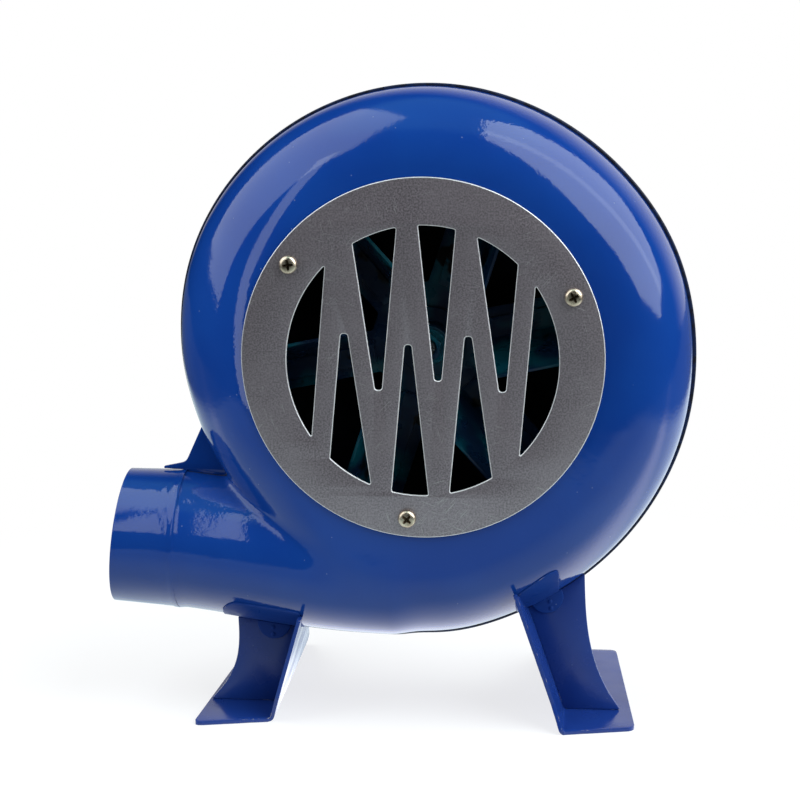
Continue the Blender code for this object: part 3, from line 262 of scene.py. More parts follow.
# Gear case and crank
DRIVE_REACH = 31.0
IDLER_REACH = 24.8
BEARING_FLANGE_RADIUS = 15.5
BEARING_HOLE = 12.3
COVER_MARGIN = 3.0
COVER_SHEET = 1.2
COVER_FLANGE = 8.0
COVER_ROUND = 4.0
COVER_INSIDE = -12.0
COVER_SCREWS = (1, 2, 3, 4)
BUSH_WALL = 1.7
BUSH_FLANGE = 1.5
BUSH_FLANGE_RIM = 1.8
CRANK_SHAFT_RADIUS = 5.0
IDLER_SHAFT_RADIUS = 3.0
ARM_HUB_RADIUS = 11.0
ARM_END_RADIUS = 9.0
CRANK_NUT_FLATS = 16.0
GRIP_NUT_FLATS = 13.0
GRIP_RADIUS = 13.0
GRIP_WAIST = 11.5
GRIP_END_ROUND = 2.4
GRIP_RINGS = (0.085, 0.115, 0.885, 0.915)
GRIP_RING_DEPTH = 0.45
GRIP_RING_WIDTH = 0.8
GRIP_COUNTERSINK = 0.4
GRIP_PIN_RADIUS = 4.0
GRIP_PIN_HEAD = 7.5
GRIP_PIN_THREAD = 9.0
ARM_EASE = 0.9
THREAD_PITCH = 0.8
THREAD_DROP = 0.4

# Lights, camera and stage, in metres
LEFT_BOX = {
    "radiance": 2.1,
    "centre": (-1.388, -0.038, 1.132),
    "across": (0.402, -0.851, -0.339),
    "up": (0.771, 0.115, 0.627),
    "size": (2.35, 2.41),
    "cuts": ((1.0, 1.0, 1.38),),
    "spine": 1.0,
}
RIGHT_BOX = {
    "radiance": 3.6,
    "centre": (1.172, -0.336, 0.936),
    "across": (0.09, 0.872, 0.482),
    "up": (-0.744, -0.263, 0.614),
    "size": (2.00, 2.09),
    "cuts": ((1.0, 1.0, 1.65), (-1.0, 1.0, 1.3), (-1.0, -1.0, 1.4), (1.0, -1.0, 1.28)),
    "spine": 1.35,
}
UPRIGHT_CARD = {"radiance": 2.1, "across": (1.0, 0.0, 0.0), "up": (0.0, 0.0, 1.0), "cuts": (), "spine": 1.0}
OUTLET_CARDS = {
    "outlet_tube": UPRIGHT_CARD | {"centre": (-0.183, -0.25, 0.40), "size": (0.042, 0.79)},
    "housing_front": UPRIGHT_CARD | {"centre": (-0.094, -0.10, 0.0595), "size": (0.021, 0.201)},
}
CUT_SOFTNESS = 0.03
SPINE_WIDTH = 0.12
LAMP_TINT = (0.90, 0.97, 1.0)
FLOOR_SHADOW = 0.28
FLOOR_BOUNCE = 0.6
WORLD_FILL = 0.2
BACKDROP_DIRECTION = (0.33, 0.94, 0.1)
CEILING_LEVEL = 0.36
CEILING_TINT = (0.35, 1.0, 1.0)
TABLE_TINT = (0.80, 0.99, 1.0)
CLOSE_TINT = (1.0, 0.90, 0.95)
TABLE_LEFT = -0.36
TABLE_RIGHT = 0.42
TABLE_FRONT = -0.58
TABLE_SLANT = 0.8
TABLE_DARK = 0.12
FLOOR_SIZE = 4.0
CAMERA_LENS = 96.75
CAMERA_SENSOR = 36.0
CAMERA_PLACE = (0.07276, -0.89753, 0.28541)
CAMERA_PITCH = math.radians(-10.664)
CAMERA_TURN = math.radians(4.978)

# The blower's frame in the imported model
JOINTS = {joint["name"]: joint for joint in frame["joints"]}
AXIS = Vector(JOINTS["impeller_spin"]["pos_m"])
SEAM_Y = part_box("front_shell")[1].y + HALF_GAP * MM
ORIGIN = np.array((AXIS.x, SEAM_Y, AXIS.z))


def shaft_centre(joint):
    """Centre of a shaft in the x, z plane of the blower's own frame."""
    place = JOINTS[joint]["pos_m"]
    return (place[0] - AXIS.x) / MM, (place[2] - AXIS.z) / MM


CRANK_CENTRE = shaft_centre("crank_spin")
IDLER_CENTRE = shaft_centre("idler_spin")
GRIP_CENTRE = shaft_centre("grip_spin")


def placed(points):
    """Points of the blower's own frame, in millimetres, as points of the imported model, in metres."""
    return np.asarray(points, float) * MM + ORIGIN


# ---------------------------------------------------------------- housing as a smooth field


def rim_radius(angle):
    """Smooth closed curve through the rim's named radii."""
    count = len(RIM_RADII)
    position = (angle / (2 * math.pi)) % 1.0 * count
    i = np.floor(position).astype(int)
    t = position - i
    before, here, after, beyond = (np.take(RIM_RADII, i + k, mode="wrap") for k in (-1, 0, 1, 2))
    bend = 2 * before - 5 * here + 4 * after - beyond
    twist = 3 * here - before - 3 * after + beyond
    return here + 0.5 * t * ((after - before) + t * (bend + t * twist))


def body_field(points, depth, grow):
    """Rounded drum: below zero inside, about a distance in millimetres near its skin."""
    x, y, z = points.T
    radius = np.hypot(x, z)
    rim = rim_radius(np.arctan2(z, x)) + grow
    across = np.maximum(radius - (rim - SHOULDER), 0.0) / SHOULDER
    along = np.abs(y) / depth
    return (np.hypot(across, along) - 1.0) * SHOULDER


def duct_field(points, depth, grow):
    """Outlet duct, round at the neck and squarer towards the body, fading out inside the body."""
    x, y, z = points.T
    share = np.clip((x - CREASE_X) / (DUCT_INNER_X - CREASE_X), 0.0, 1.0)
    lowered = np.sin(math.pi / 2 * share) ** DUCT_BOTTOM_POWER
    neck = np.clip((CREASE_X - x) / NECK_STEP, 0.0, 1.0)
    ridge = RIDGE * np.exp(-(((x - CREASE_X) / RIDGE_WIDTH) ** 2))
    swell = grow * np.minimum(1.0, DUCT_GROWTH * share) - neck * (SHEET + HALF_GAP) + ridge
    bottom = (CREASE_Z - DUCT_RADIUS) * (1 - lowered) + DUCT_INNER_BOTTOM * lowered
    top = (CREASE_Z + DUCT_RADIUS) * (1 - share) + DUCT_INNER_TOP * share
    beyond = np.maximum(CREASE_X - x, 0.0) * math.tan(OUTLET_RISE)
    sunk = (np.hypot(np.maximum(x - DUCT_INNER_X, 0.0), DUCT_EASE) - DUCT_EASE) * DUCT_SINKING
    half_height = (top - bottom) / 2 + swell
    deeper = np.minimum(1.0, DUCT_DEEPENING * share)
    half_depth = DUCT_RADIUS + (DUCT_CREST + depth - FRONT_DEPTH - DUCT_RADIUS) * deeper + swell
    power = 2.0 + DUCT_SQUARENESS * share
    rise = np.abs(z - beyond - (top + bottom) / 2) / half_height
    side = np.abs(y) / half_depth
    return ((side**power + rise**power) ** (1.0 / power) - 1.0) * DUCT_RADIUS + sunk


def housing_field(points, depth, grow):
    """Body and duct melted together with a small fillet in the valley between them."""
    body = body_field(points, depth, grow)
    duct = duct_field(points, depth, grow)
    overlap = np.maximum(VALLEY_BLEND - np.abs(body - duct), 0.0) / VALLEY_BLEND
    return np.minimum(body, duct) - overlap**3 * VALLEY_BLEND / 6.0


def front_field(points):
    return housing_field(points, FRONT_DEPTH, -FRONT_SHRINK)


def back_field(points):
    return housing_field(points, BACK_DEPTH, 0.0)


def slope(field, points):
    parts = [field(points + step) - field(points - step) for step in SLOPE_STEP * np.eye(3)]
    return np.stack(parts, axis=1) / (2 * SLOPE_STEP)


def unit(vectors):
    return vectors / np.linalg.norm(vectors, axis=1, keepdims=True)


def settled(points, field, rounds=4):
    """Points moved along the field's slope until they lie on its zero level."""
    for _ in range(rounds):
        steep = slope(field, points)
        points = points - (field(points) / (steep**2).sum(axis=1))[:, None] * steep
    return points


def surface_net(field, low, high, step):
    """Quads on the zero level of a field: one point in each grid cell that the level crosses."""
    axes = [np.arange(a, b + step, step) for a, b in zip(low, high)]
    grid = np.stack(np.meshgrid(*axes, indexing="ij"), axis=-1)
    values = field(grid.reshape(-1, 3)).reshape(grid.shape[:3])
    cells = np.array(values.shape) - 1
    total = np.zeros((cells.prod(), 3))
    count = np.zeros(cells.prod())
    quads = []
    for axis in range(3):
        others = [k for k in range(3) if k != axis]
        near = np.take(values, range(values.shape[axis] - 1), axis)
        far = np.take(values, range(1, values.shape[axis]), axis)
        index = np.argwhere((near < 0) != (far < 0))
        a, b = near[tuple(index.T)], far[tuple(index.T)]
        point = grid[tuple(index.T)].copy()
        point[:, axis] += step * a / (a - b)
        corners = []
        kept = np.ones(len(index), bool)
        for first, second in ((0, 0), (-1, 0), (-1, -1), (0, -1)):
            cell = index.copy()
            cell[:, others[0]] += first
            cell[:, others[1]] += second
            held = ((cell >= 0) & (cell < cells)).all(axis=1)
            number = np.ravel_multi_index(np.where(held[:, None], cell, 0).T, cells)
            np.add.at(total, number[held], point[held])
            np.add.at(count, number[held], 1)
            corners.append(number)
            kept &= held
        quad = np.stack(corners, axis=1)
        flip = (a < 0) == (axis == 1)
        quad[flip] = quad[flip][:, ::-1]
        quads.append(quad[kept])
    quads = np.concatenate(quads)
    used = np.unique(quads)
    number = np.zeros(cells.prod(), int)
    number[used] = np.arange(len(used))
    return total[used] / count[used][:, None], number[quads]


# ---------------------------------------------------------------- outlines


def rounded(corners, radii, steps=5):
    """A closed outline whose corners are turned into arcs. Radii is one value, or one for each corner."""
    corners = [np.array(c, float) for c in corners]
    count = len(corners)
    if not hasattr(radii, "__len__"):
        radii = [radii] * count
    outline = []
    for i, (corner, radius) in enumerate(zip(corners, radii)):
        before = corners[i - 1] - corner
        after = corners[(i + 1) % count] - corner
        before_length, after_length = np.linalg.norm(before), np.linalg.norm(after)
        before, after = before / before_length, after / after_length
        half = math.acos(np.clip(before @ after, -1.0, 1.0)) / 2
        if radius <= 0.0 or half > math.radians(86.0):
            outline.append(tuple(corner))
            continue
        tangent = min(radius / math.tan(half), 0.45 * before_length, 0.45 * after_length)
        radius = tangent * math.tan(half)
        middle = (before + after) / np.linalg.norm(before + after)
        centre = corner + middle * radius / math.sin(half)
        start = corner + before * tangent - centre
        turn = math.pi - 2 * half
        if before[0] * after[1] - before[1] * after[0] > 0:
            turn = -turn
        for k in range(steps + 1):
            a = turn * k / steps
            outline.append((
                centre[0] + start[0] * math.cos(a) - start[1] * math.sin(a),
                centre[1] + start[0] * math.sin(a) + start[1] * math.cos(a),
            ))
    return outline


def circle(centre, radius, segments):
    angles = 2 * math.pi * np.arange(segments) / segments
    return [(centre[0] + radius * math.cos(a), centre[1] + radius * math.sin(a)) for a in angles]


def signed_area(loop):
    u, v = np.array(loop).T
    return 0.5 * np.sum(u * np.roll(v, -1) - np.roll(u, -1) * v)


def turned_right(loops):
    """Outer loop counter-clockwise and holes clockwise, so that the material is on the left of each."""
    sorted_loops = []
    for i, loop in enumerate(loops):
        wanted = 1.0 if i == 0 else -1.0
        sorted_loops.append(np.array(loop if signed_area(loop) * wanted > 0 else loop[::-1]))
    return sorted_loops


def moved_in(loop, distance):
    """A loop moved into the material on its left by a distance."""
    ahead = np.roll(loop, -1, axis=0) - loop
    ahead /= np.linalg.norm(ahead, axis=1, keepdims=True)
    left = np.stack([-ahead[:, 1], ahead[:, 0]], axis=1)
    both = left + np.roll(left, 1, axis=0)
    return loop + distance * both / np.maximum((both**2).sum(axis=1, keepdims=True) / 2, 0.3)


def facing_y(outline, depth):
    """Points of an outline in the x, z plane, at a depth."""
    u, v = np.array(outline).T
    return np.stack([u, np.full_like(u, depth), v], axis=1)


def corner_pull(radius, short):
    """How far a round corner pulls an edge in, at a distance short of where it runs straight."""
    return radius - math.sqrt(max(radius**2 - max(short, 0.0) ** 2, 0.0))


def dome(radius, seat, height, rim, rise, fullness):
    """Profile of a domed head from just over its rim to near its top."""
    turns = [0.5 * math.pi * k / 9 for k in range(1, 9)]
    levels = [seat + height * (rim + (1.0 - rim) * math.sin(a) ** rise) for a in turns]
    return [(radius * math.cos(a) ** fullness, level) for a, level in zip(turns, levels)]


# ---------------------------------------------------------------- mesh helpers


def link_object(name, data):
    thing = bpy.data.objects.new(name, data)
    bpy.context.scene.collection.objects.link(thing)
    return thing


def link_piece(name, mesh, body, slot, node=None, material=None):
    """A piece on a body, with a slot and its finish, which stands for a CAD node where one is given."""
    piece = link_object(name, mesh)
    mesh.materials.append(material or FINISHES[slot])
    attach(piece, body)
    if node:
        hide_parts(node)


def mesh_from(name, points, faces, sharp=SHARP_FROM):
    """A mesh from points in millimetres, facing outwards and smooth where its angles are shallow."""
    mesh = bpy.data.meshes.new(name)
    mesh.from_pydata([tuple(p) for p in placed(points)], [], [tuple(int(i) for i in f) for f in faces])
    builder = bmesh.new()
    builder.from_mesh(mesh)
    bmesh.ops.remove_doubles(builder, verts=builder.verts, dist=MERGE_DISTANCE)
    bmesh.ops.recalc_face_normals(builder, faces=builder.faces)
    builder.to_mesh(mesh)
    builder.free()
    mesh.shade_smooth()
    mesh.set_sharp_from_angle(angle=math.radians(sharp))
    return mesh


def edge_profile(near, far, edge, steps):
    """Steps of a plate's rim as (how far in, depth), with both edges rounded."""
    turn = [0.5 * math.pi * k / steps for k in range(steps + 1)]
    first = [(edge * (1 - math.sin(a)), near + edge * (1 - math.cos(a))) for a in turn]
    return first + [(inset, near + far - depth) for inset, depth in reversed(first)]


def plate_mesh(name, loops, near, far, edge, steps=2, place=facing_y):
    """A flat plate between two depths, with holes and rounded edges."""
    loops = turned_right(loops)
    profile = edge_profile(near, far, edge, steps)
    points, faces, starts = [], [], []
    for inset, depth in profile:
        row = []
        for loop in loops:
            row.append(sum(len(p) for p in points))
            points.append(place(moved_in(loop, inset), depth))
        starts.append(row)
    for lower, upper in zip(starts, starts[1:]):
        for loop, a, b in zip(loops, lower, upper):
            for i in range(len(loop)):
                j = (i + 1) % len(loop)
                faces.append((a + i, a + j, b + j, b + i))
    for row in (starts[0], starts[-1]):
        flat = [[Vector((u, v, 0.0)) for u, v in moved_in(loop, edge)] for loop in loops]
        numbers = [start + i for start, loop in zip(row, loops) for i in range(len(loop))]
        faces += [tuple(numbers[i] for i in triangle) for triangle in tessellate_polygon(flat)]
    return mesh_from(name, np.concatenate(points), faces)


def flat_piece(name, node, loops, edge, body, slot, steps=2):
    """A plate as deep as the CAD node that it stands for."""
    mesh = plate_mesh(name, loops, *span(node), edge, steps)
    link_piece(name, mesh, body, slot, node)
    return mesh


def ring_mesh(name, rings, closed=True, sharp=SHARP_FROM):
    """Rings of equal count joined by quads; open ends are capped."""
    count = len(rings[0])
    faces = []
    last = len(rings) if closed else len(rings) - 1
    for k in range(last):
        a, b = k * count, (k + 1) % len(rings) * count
        for i in range(count):
            j = (i + 1) % count
            faces.append((a + i, a + j, b + j, b + i))
    if not closed:
        faces += [tuple(range(count)), tuple(range(last * count, (last + 1) * count))]
    return mesh_from(name, np.concatenate(rings), faces, sharp)


def turned_mesh(name, centre, profile, closed, segments, sharp=SHARP_FROM):
    """A turned piece about a shaft along Y, from (radius, depth) points."""
    rings = [facing_y(circle(centre, radius, segments), depth) for radius, depth in profile]
    return ring_mesh(name, rings, closed, sharp)


def sheet_mesh(name, grid, thickness, edge):
    """Bent sheet: a grid of points on one face, thickened along its normals, with eased edges."""
    rows, columns = grid.shape[:2]
    along = np.gradient(grid, axis=0)
    across = np.gradient(grid, axis=1)
    normal = np.cross(along, across)
    normal /= np.maximum(np.linalg.norm(normal, axis=2, keepdims=True), 1e-9)
    points = np.concatenate([grid.reshape(-1, 3), (grid + normal * thickness).reshape(-1, 3)])
    number = np.arange(rows * columns).reshape(rows, columns)
    faces = []
    for i in range(rows - 1):
        for j in range(columns - 1):
            quad = (number[i, j], number[i + 1, j], number[i + 1, j + 1], number[i, j + 1])
            faces.append(quad)
            faces.append(tuple(n + rows * columns for n in reversed(quad)))
    border = [(i, 0) for i in range(rows)] + [(rows - 1, j) for j in range(1, columns)]
    border += [(i, columns - 1) for i in range(rows - 2, -1, -1)]
    border += [(0, j) for j in range(columns - 2, 0, -1)]
    for (i0, j0), (i1, j1) in zip(border, border[1:] + border[:1]):
        a, b = number[i0, j0], number[i1, j1]
        faces.append((a, b, b + rows * columns, a + rows * columns))
    return eased(mesh_from(name, points, faces), edge)


def eased(mesh, width):
    """The mesh with its sharp edges rounded off."""
    thing = link_object("work", mesh)
    bevel = thing.modifiers.new("edges", "BEVEL")
    bevel.width = width * MM
    bevel.segments = 2
    bevel.limit_method = "ANGLE"
    bevel.angle_limit = math.radians(EDGE_FROM)
    bevel.use_clamp_overlap = True
    return applied(thing)


def applied(thing):
    """The mesh of a helper object with its modifiers applied. The object is removed."""
    bpy.context.view_layer.update()
    evaluated = thing.evaluated_get(bpy.context.evaluated_depsgraph_get())
    mesh = bpy.data.meshes.new_from_object(evaluated)
    bpy.data.objects.remove(thing, do_unlink=True)
    mesh.shade_smooth()
    mesh.set_sharp_from_angle(angle=math.radians(SHARP_FROM))
    return mesh


def joined(first, others, operation):
    """First mesh united with, or cut by, others."""
    thing = link_object("work", first)
    tools = [link_object("tool", other) for other in others]
    for tool in tools:
        modifier = thing.modifiers.new("join", "BOOLEAN")
        modifier.operation = operation
        modifier.solver = "EXACT"
        modifier.object = tool
    mesh = applied(thing)
    for tool in tools:
        bpy.data.objects.remove(tool, do_unlink=True)
    return mesh


def span(node):
    """Nearest and farthest depth of a CAD node."""
    low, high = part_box(node)
    return (low.y - SEAM_Y) / MM, (high.y - SEAM_Y) / MM


def centre_of(node):
    low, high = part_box(node)
    middle = (low + high) / 2
    return (middle.x - AXIS.x) / MM, (middle.z - AXIS.z) / MM


# ---------------------------------------------------------------- materials


class Graph:
    """Small steps of a node graph."""

    def __init__(self, tree):
        self.tree = tree

    def node(self, kind, **settings):
        made = self.tree.nodes.new(kind)
        for key, value in settings.items():
            setattr(made, key, value)
        return made

    def link(self, output, target):
        self.tree.links.new(output, target)

    def feed(self, socket, value):
        """A socket given a number, a colour or another node's output."""
        if isinstance(value, tuple):
            socket.default_value = (*value, 1.0)
        elif isinstance(value, float):
            socket.default_value = value
        else:
            self.link(value, socket)

    def ramp(self, value, low, high, start=0.0, end=1.0):
        """A value stretched between two levels and kept inside them."""
        made = self.node("ShaderNodeMapRange", interpolation_type="SMOOTHSTEP")
        for key, number in (("From Min", low), ("From Max", high), ("To Min", start), ("To Max", end)):
            made.inputs[key].default_value = number
        self.link(value, made.inputs["Value"])
        return made.outputs["Result"]

    def math(self, operation, first, second=0.0):
        made = self.node("ShaderNodeMath", operation=operation)
        for socket, value in zip(made.inputs, (first, second)):
            self.feed(socket, value)
        return made.outputs["Value"]

    def times(self, first, *others):
        """Product of values."""
        for other in others:
            first = self.math("MULTIPLY", first, other)
        return first

    def dot(self, first, second):
        """Dot product of a vector with another vector or a fixed direction."""
        made = self.node("ShaderNodeVectorMath", operation="DOT_PRODUCT")
        self.link(first, made.inputs[0])
        if isinstance(second, Vector):
            made.inputs[1].default_value = second
        else:
            self.link(second, made.inputs[1])
        return made.outputs["Value"]

    def split(self, vector):
        made = self.node("ShaderNodeSeparateXYZ")
        self.link(vector, made.inputs[0])
        return made.outputs


class Finish(Graph):
    """Node graph of one material, built up from small texture steps in object space."""

    def __init__(self, name):
        self.material = bpy.data.materials.new(name)
        self.material.use_nodes = True
        super().__init__(self.material.node_tree)
        self.shader = self.tree.nodes["Principled BSDF"]
        self.place = self.node("ShaderNodeTexCoord").outputs["Object"]

    def number(self, name, value):
        self.shader.inputs[name].default_value = value

    def noise(self, size, detail=2.0, stretch=(1.0, 1.0, 1.0), turn=(0.0, 0.0, 0.0)):
        """Soft noise whose features are about a size in millimetres."""
        mapping = self.node("ShaderNodeMapping", vector_type="TEXTURE")
        mapping.inputs["Scale"].default_value = tuple(1.0 / share for share in stretch)
        mapping.inputs["Rotation"].default_value = turn
        self.link(self.place, mapping.inputs["Vector"])
        texture = self.node("ShaderNodeTexNoise")
        texture.inputs["Scale"].default_value = 1.0 / (size * MM)
        texture.inputs["Detail"].default_value = detail
        self.link(mapping.outputs["Vector"], texture.inputs["Vector"])
        return texture.outputs["Fac"]

    def patches(self, size, detail, low, high, start=0.0, end=1.0):
        """Soft patches of about a size in millimetres, between two levels of their noise."""
        return self.ramp(self.noise(size, detail), low, high, start, end)

    def cells(self, size):
        texture = self.node("ShaderNodeTexVoronoi", feature="F1")
        texture.inputs["Scale"].default_value = 1.0 / (size * MM)
        self.link(self.place, texture.inputs["Vector"])
        return texture.outputs["Distance"]

    def mix(self, share, first, second):
        """Blend of two colours by a share."""
        made = self.node("ShaderNodeMix", data_type="RGBA")
        for key, value in ((MIX_SHARE, share), (MIX_FIRST, first), (MIX_SECOND, second)):
            self.feed(made.inputs[key], value)
        return made.outputs[MIX_RESULT]

    def edges(self, radius):
        """About 1 on sharp edges and 0 on open faces."""
        bevel = self.node("ShaderNodeBevel", samples=6)
        bevel.inputs["Radius"].default_value = radius * MM
        plain = self.node("ShaderNodeNewGeometry").outputs["Normal"]
        return self.ramp(self.dot(bevel.outputs["Normal"], plain), 0.985, 0.90)

    def bump(self, heights):
        """Surface relief from pairs of (height texture, depth in millimetres)."""
        normal = None
        for height, depth in heights:
            made = self.node("ShaderNodeBump")
            made.inputs["Distance"].default_value = depth * MM
            self.link(height, made.inputs["Height"])
            if normal is not None:
                self.link(normal, made.inputs["Normal"])
            normal = made.outputs["Normal"]
        self.link(normal, self.shader.inputs["Normal"])

    def colour(self, output):
        self.link(output, self.shader.inputs["Base Color"])

    def roughness(self, output):
        self.link(output, self.shader.inputs["Roughness"])


def gloss_paint(name, colour, deep, nicks=0.0, wear=0.0, dents=0.0, dull=0.0):
    """Gloss enamel on sheet steel: colour drift, orange peel, dust specks, and wear or dents if asked."""
    finish = Finish(name)
    drift = finish.patches(38.0, 2.0, 0.3, 0.7)
    paint = finish.mix(drift, colour, deep)
    speck = finish.ramp(finish.cells(7.0), 0.045, 0.03)
    paint = finish.mix(finish.times(speck, 0.35), paint, (0.25, 0.32, 0.45))
    if nicks:
        chip = finish.patches(4.0, 5.0, nicks, nicks + 0.02)
        paint = finish.mix(chip, paint, (0.07, 0.06, 0.055))
    if wear:
        patches = finish.patches(5.0, 4.0, wear, wear + 0.08)
        worn = finish.times(finish.edges(0.5), patches)
        paint = finish.mix(worn, paint, (0.42, 0.40, 0.38))
    finish.colour(paint)
    finish.roughness(finish.patches(14.0, 3.0, 0.3, 0.75, 0.05 + dull / 2, 0.11 + dull))
    finish.number("Specular IOR Level", 0.5 - dull)
    finish.number("IOR", 1.5)
    patch = finish.patches(45.0, 1.0, 0.40, 0.60, 0.25, 1.0)
    peel = finish.times(finish.noise(1.7, 2.0), patch)
    relief = [(finish.noise(9.0, 1.0), 0.05), (peel, PEEL_DEPTH), (speck, 0.02)]
    if dents:
        x = finish.split(finish.place)[0]
        reach = finish.ramp(x, ORIGIN[0] + DENT_START * MM, ORIGIN[0] + DENT_FULL * MM)
        relief.append((finish.times(finish.noise(21.0, 1.0), reach), dents))
    finish.bump(relief)
    return finish.material


def plain_finish(name, tones, drift, rough, grain, metallic=0.0, specular=0.5):
    """Two tones in soft patches, patches of roughness, and a fine grain of (size, detail, depth)."""
    finish = Finish(name)
    finish.colour(finish.mix(finish.patches(*drift), *tones))
    finish.roughness(finish.patches(*rough))
    finish.number("Metallic", metallic)
    finish.number("Specular IOR Level", specular)
    size, detail, depth = grain
    finish.bump([(finish.noise(size, detail), depth)])
    return finish.material


def blade_paint():
    """Dark blue dipped coat with random teal patches, and random near-black patches that are painted shade.
    """
    finish = Finish("impeller_gloss")
    teal_patch = finish.patches(22.0, 2.0, 0.48, 0.66)
    paint = finish.mix(teal_patch, (0.005, 0.026, 0.075), (0.003, 0.12, 0.17))
    # Random near-black patches: painted shade of the dark inside of the housing, mixed over the blade paint.
    painted_shade_patch = finish.patches(16.0, 3.0, 0.60, 0.66)
    finish.colour(finish.mix(painted_shade_patch, paint, (0.004, 0.004, 0.005)))
    finish.roughness(finish.patches(9.0, 3.0, 0.3, 0.7, 0.22, 0.45))
    finish.number("Specular IOR Level", 0.35)
    finish.bump([(finish.noise(4.0, 2.0), 0.05)])
    return finish.material


def zinc_sheet():
    """Satin zinc-coated sheet: fine grain, faint cloudy patches and hair scratches in several directions."""
    finish = Finish("zinc_sheet")
    grain = finish.noise(0.7, 3.0)
    cloud = finish.noise(17.0, 3.0)
    tone = finish.mix(finish.ramp(grain, 0.30, 0.70), (0.225, 0.200, 0.221), (0.415, 0.370, 0.406))
    tone = finish.mix(finish.ramp(cloud, 0.35, 0.7, 0.0, 0.35), tone, (0.415, 0.370, 0.406))
    scratches = None
    for turn, level, spot in ((0.35, 0.70, 0.56), (1.25, 0.71, 0.58), (2.3, 0.70, 0.57), (2.85, 0.71, 0.55)):
        streak = finish.noise(7.0, 1.0, stretch=(0.55, 1.0, 32.0), turn=(0.0, turn, 0.0))
        patch = finish.patches(19.0 + 4.0 * turn, 1.0, spot, spot + 0.05)
        line = finish.times(finish.ramp(streak, level - 0.02, level + 0.01), patch)
        scratches = line if scratches is None else finish.math("MAXIMUM", scratches, line)
    tone = finish.mix(finish.times(scratches, 0.7), tone, (0.62, 0.62, 0.62))
    finish.colour(tone)
    finish.number("Metallic", 0.75)
    finish.roughness(finish.ramp(grain, 0.3, 0.7, 0.34, 0.45))
    finish.bump([(grain, 0.006), (scratches, 0.01)])
    return finish.material


def painted_highlight_edge():
    """Cut edge of the zinc-coated sheet: uncoated steel, made extra bright as a painted highlight along the
    edges.
    """
    finish = Finish("painted_highlight_edge")
    finish.colour(finish.mix(finish.noise(1.2, 2.0), (0.75, 0.75, 0.76), (0.95, 0.95, 0.96)))
    finish.number("Metallic", 0.6)
    finish.roughness(finish.patches(1.0, 2.0, 0.3, 0.7, 0.35, 0.6))
    finish.bump([(finish.noise(0.7, 2.0), 0.01)])
    return finish.material


def metal(name, colour, dark, roughness):
    """Plated or machined steel with faint tarnish and fine handling marks."""
    rough = (0.9, 3.0, 0.3, 0.7, roughness * 0.75, roughness * 1.3)
    return plain_finish(name, (colour, dark), (4.0, 4.0, 0.35, 0.75), rough, (0.9, 3.0, 0.003), 1.0)


def paper():
    finish = Finish("gasket_paper")
    fibre = finish.noise(0.6, 4.0)
    finish.colour(finish.mix(fibre, (0.10, 0.075, 0.05), (0.16, 0.13, 0.10)))
    finish.number("Roughness", 0.95)
    finish.bump([(fibre, 0.03)])
    return finish.material


def moulded_plastic():
    """Black moulded grip: fine pebble grain, slightly shinier where hands rub it."""
    finish = Finish("black_plastic")
    pebble = finish.cells(0.7)
    rubbed = finish.patches(24.0, 2.0, 0.35, 0.65)
    finish.colour(finish.mix(rubbed, (0.012, 0.012, 0.013), (0.022, 0.021, 0.021)))
    finish.roughness(finish.patches(20.0, 2.0, 0.35, 0.65, 0.34, 0.52))
    finish.bump([(pebble, 0.03)])
    return finish.material


LEG_BLUE = gloss_paint("blue_worn", (0.012, 0.046, 0.25), (0.010, 0.036, 0.21), 0.77, 0.56, dull=0.2)
STRIP_BLUE = gloss_paint("blue_dull", (0.010, 0.052, 0.27), (0.009, 0.040, 0.22), 0.80, 0.62, dull=0.43)
# Near-black finish of the rolled seam lip: painted shade of the gap at the seam.
SEAM_PAINTED_SHADE = plain_finish(
    "seam_painted_shade",
    ((0.007, 0.016, 0.055), (0.008, 0.008, 0.014)),
    (3.0, 4.0, 0.4, 0.65),
    (2.0, 3.0, 0.3, 0.7, 0.3, 0.5),
    (1.5, 3.0, 0.03),
    specular=0.2,
)
# Near-black finish for the inner skin and cut edges of the housing: painted shade inside the shell.
INSIDE_PAINTED_SHADE = plain_finish(
    "inside_painted_shade",
    ((0.003, 0.005, 0.014), (0.006, 0.008, 0.012)),
    (20.0, 3.0, 0.3, 0.7),
    (5.0, 3.0, 0.3, 0.7, 0.5, 0.75),
    (3.0, 3.0, 0.03),
    specular=0.2,
)
BRONZE = plain_finish(
    "bronze",
    ((0.50, 0.31, 0.13), (0.36, 0.21, 0.09)),
    (5.0, 3.0, 0.3, 0.7),
    (0.8, 2.0, 0.3, 0.7, 0.28, 0.45),
    (0.8, 2.0, 0.01),
    metallic=1.0,
)
# Bright finish of the grille's cut edges: uncoated steel made brighter as a painted highlight.
CUT_EDGE_HIGHLIGHT = painted_highlight_edge()
# Dark finish for the walls of the cross recess in the screw heads: painted shade in the recess.
RECESS_PAINTED_SHADE = metal("screw_recess", (0.20, 0.14, 0.09), (0.03, 0.022, 0.018), 0.45)
FINISHES = {
    "blue_paint": gloss_paint("blue_gloss", (0.006, 0.048, 0.27), (0.005, 0.040, 0.245), dents=0.45),
    "impeller_paint": blade_paint(),
    "zinc_sheet": zinc_sheet(),
    "plated_steel": metal("plated_steel", (0.80, 0.68, 0.53), (0.46, 0.35, 0.25), 0.34),
    "bright_steel": metal("bright_steel", (0.60, 0.61, 0.63), (0.42, 0.43, 0.44), 0.26),
    "gear_steel": metal("gear_steel", (0.32, 0.32, 0.33), (0.20, 0.20, 0.20), 0.4),
    "bronze": BRONZE,
    "gasket_paper": paper(),
    "black_plastic": moulded_plastic(),
}

for node in frame["nodes"].values():
    for slot in node.material_slots:
        slot.material = FINISHES[slot.material.name.split(".")[0]]


# ---------------------------------------------------------------- housing


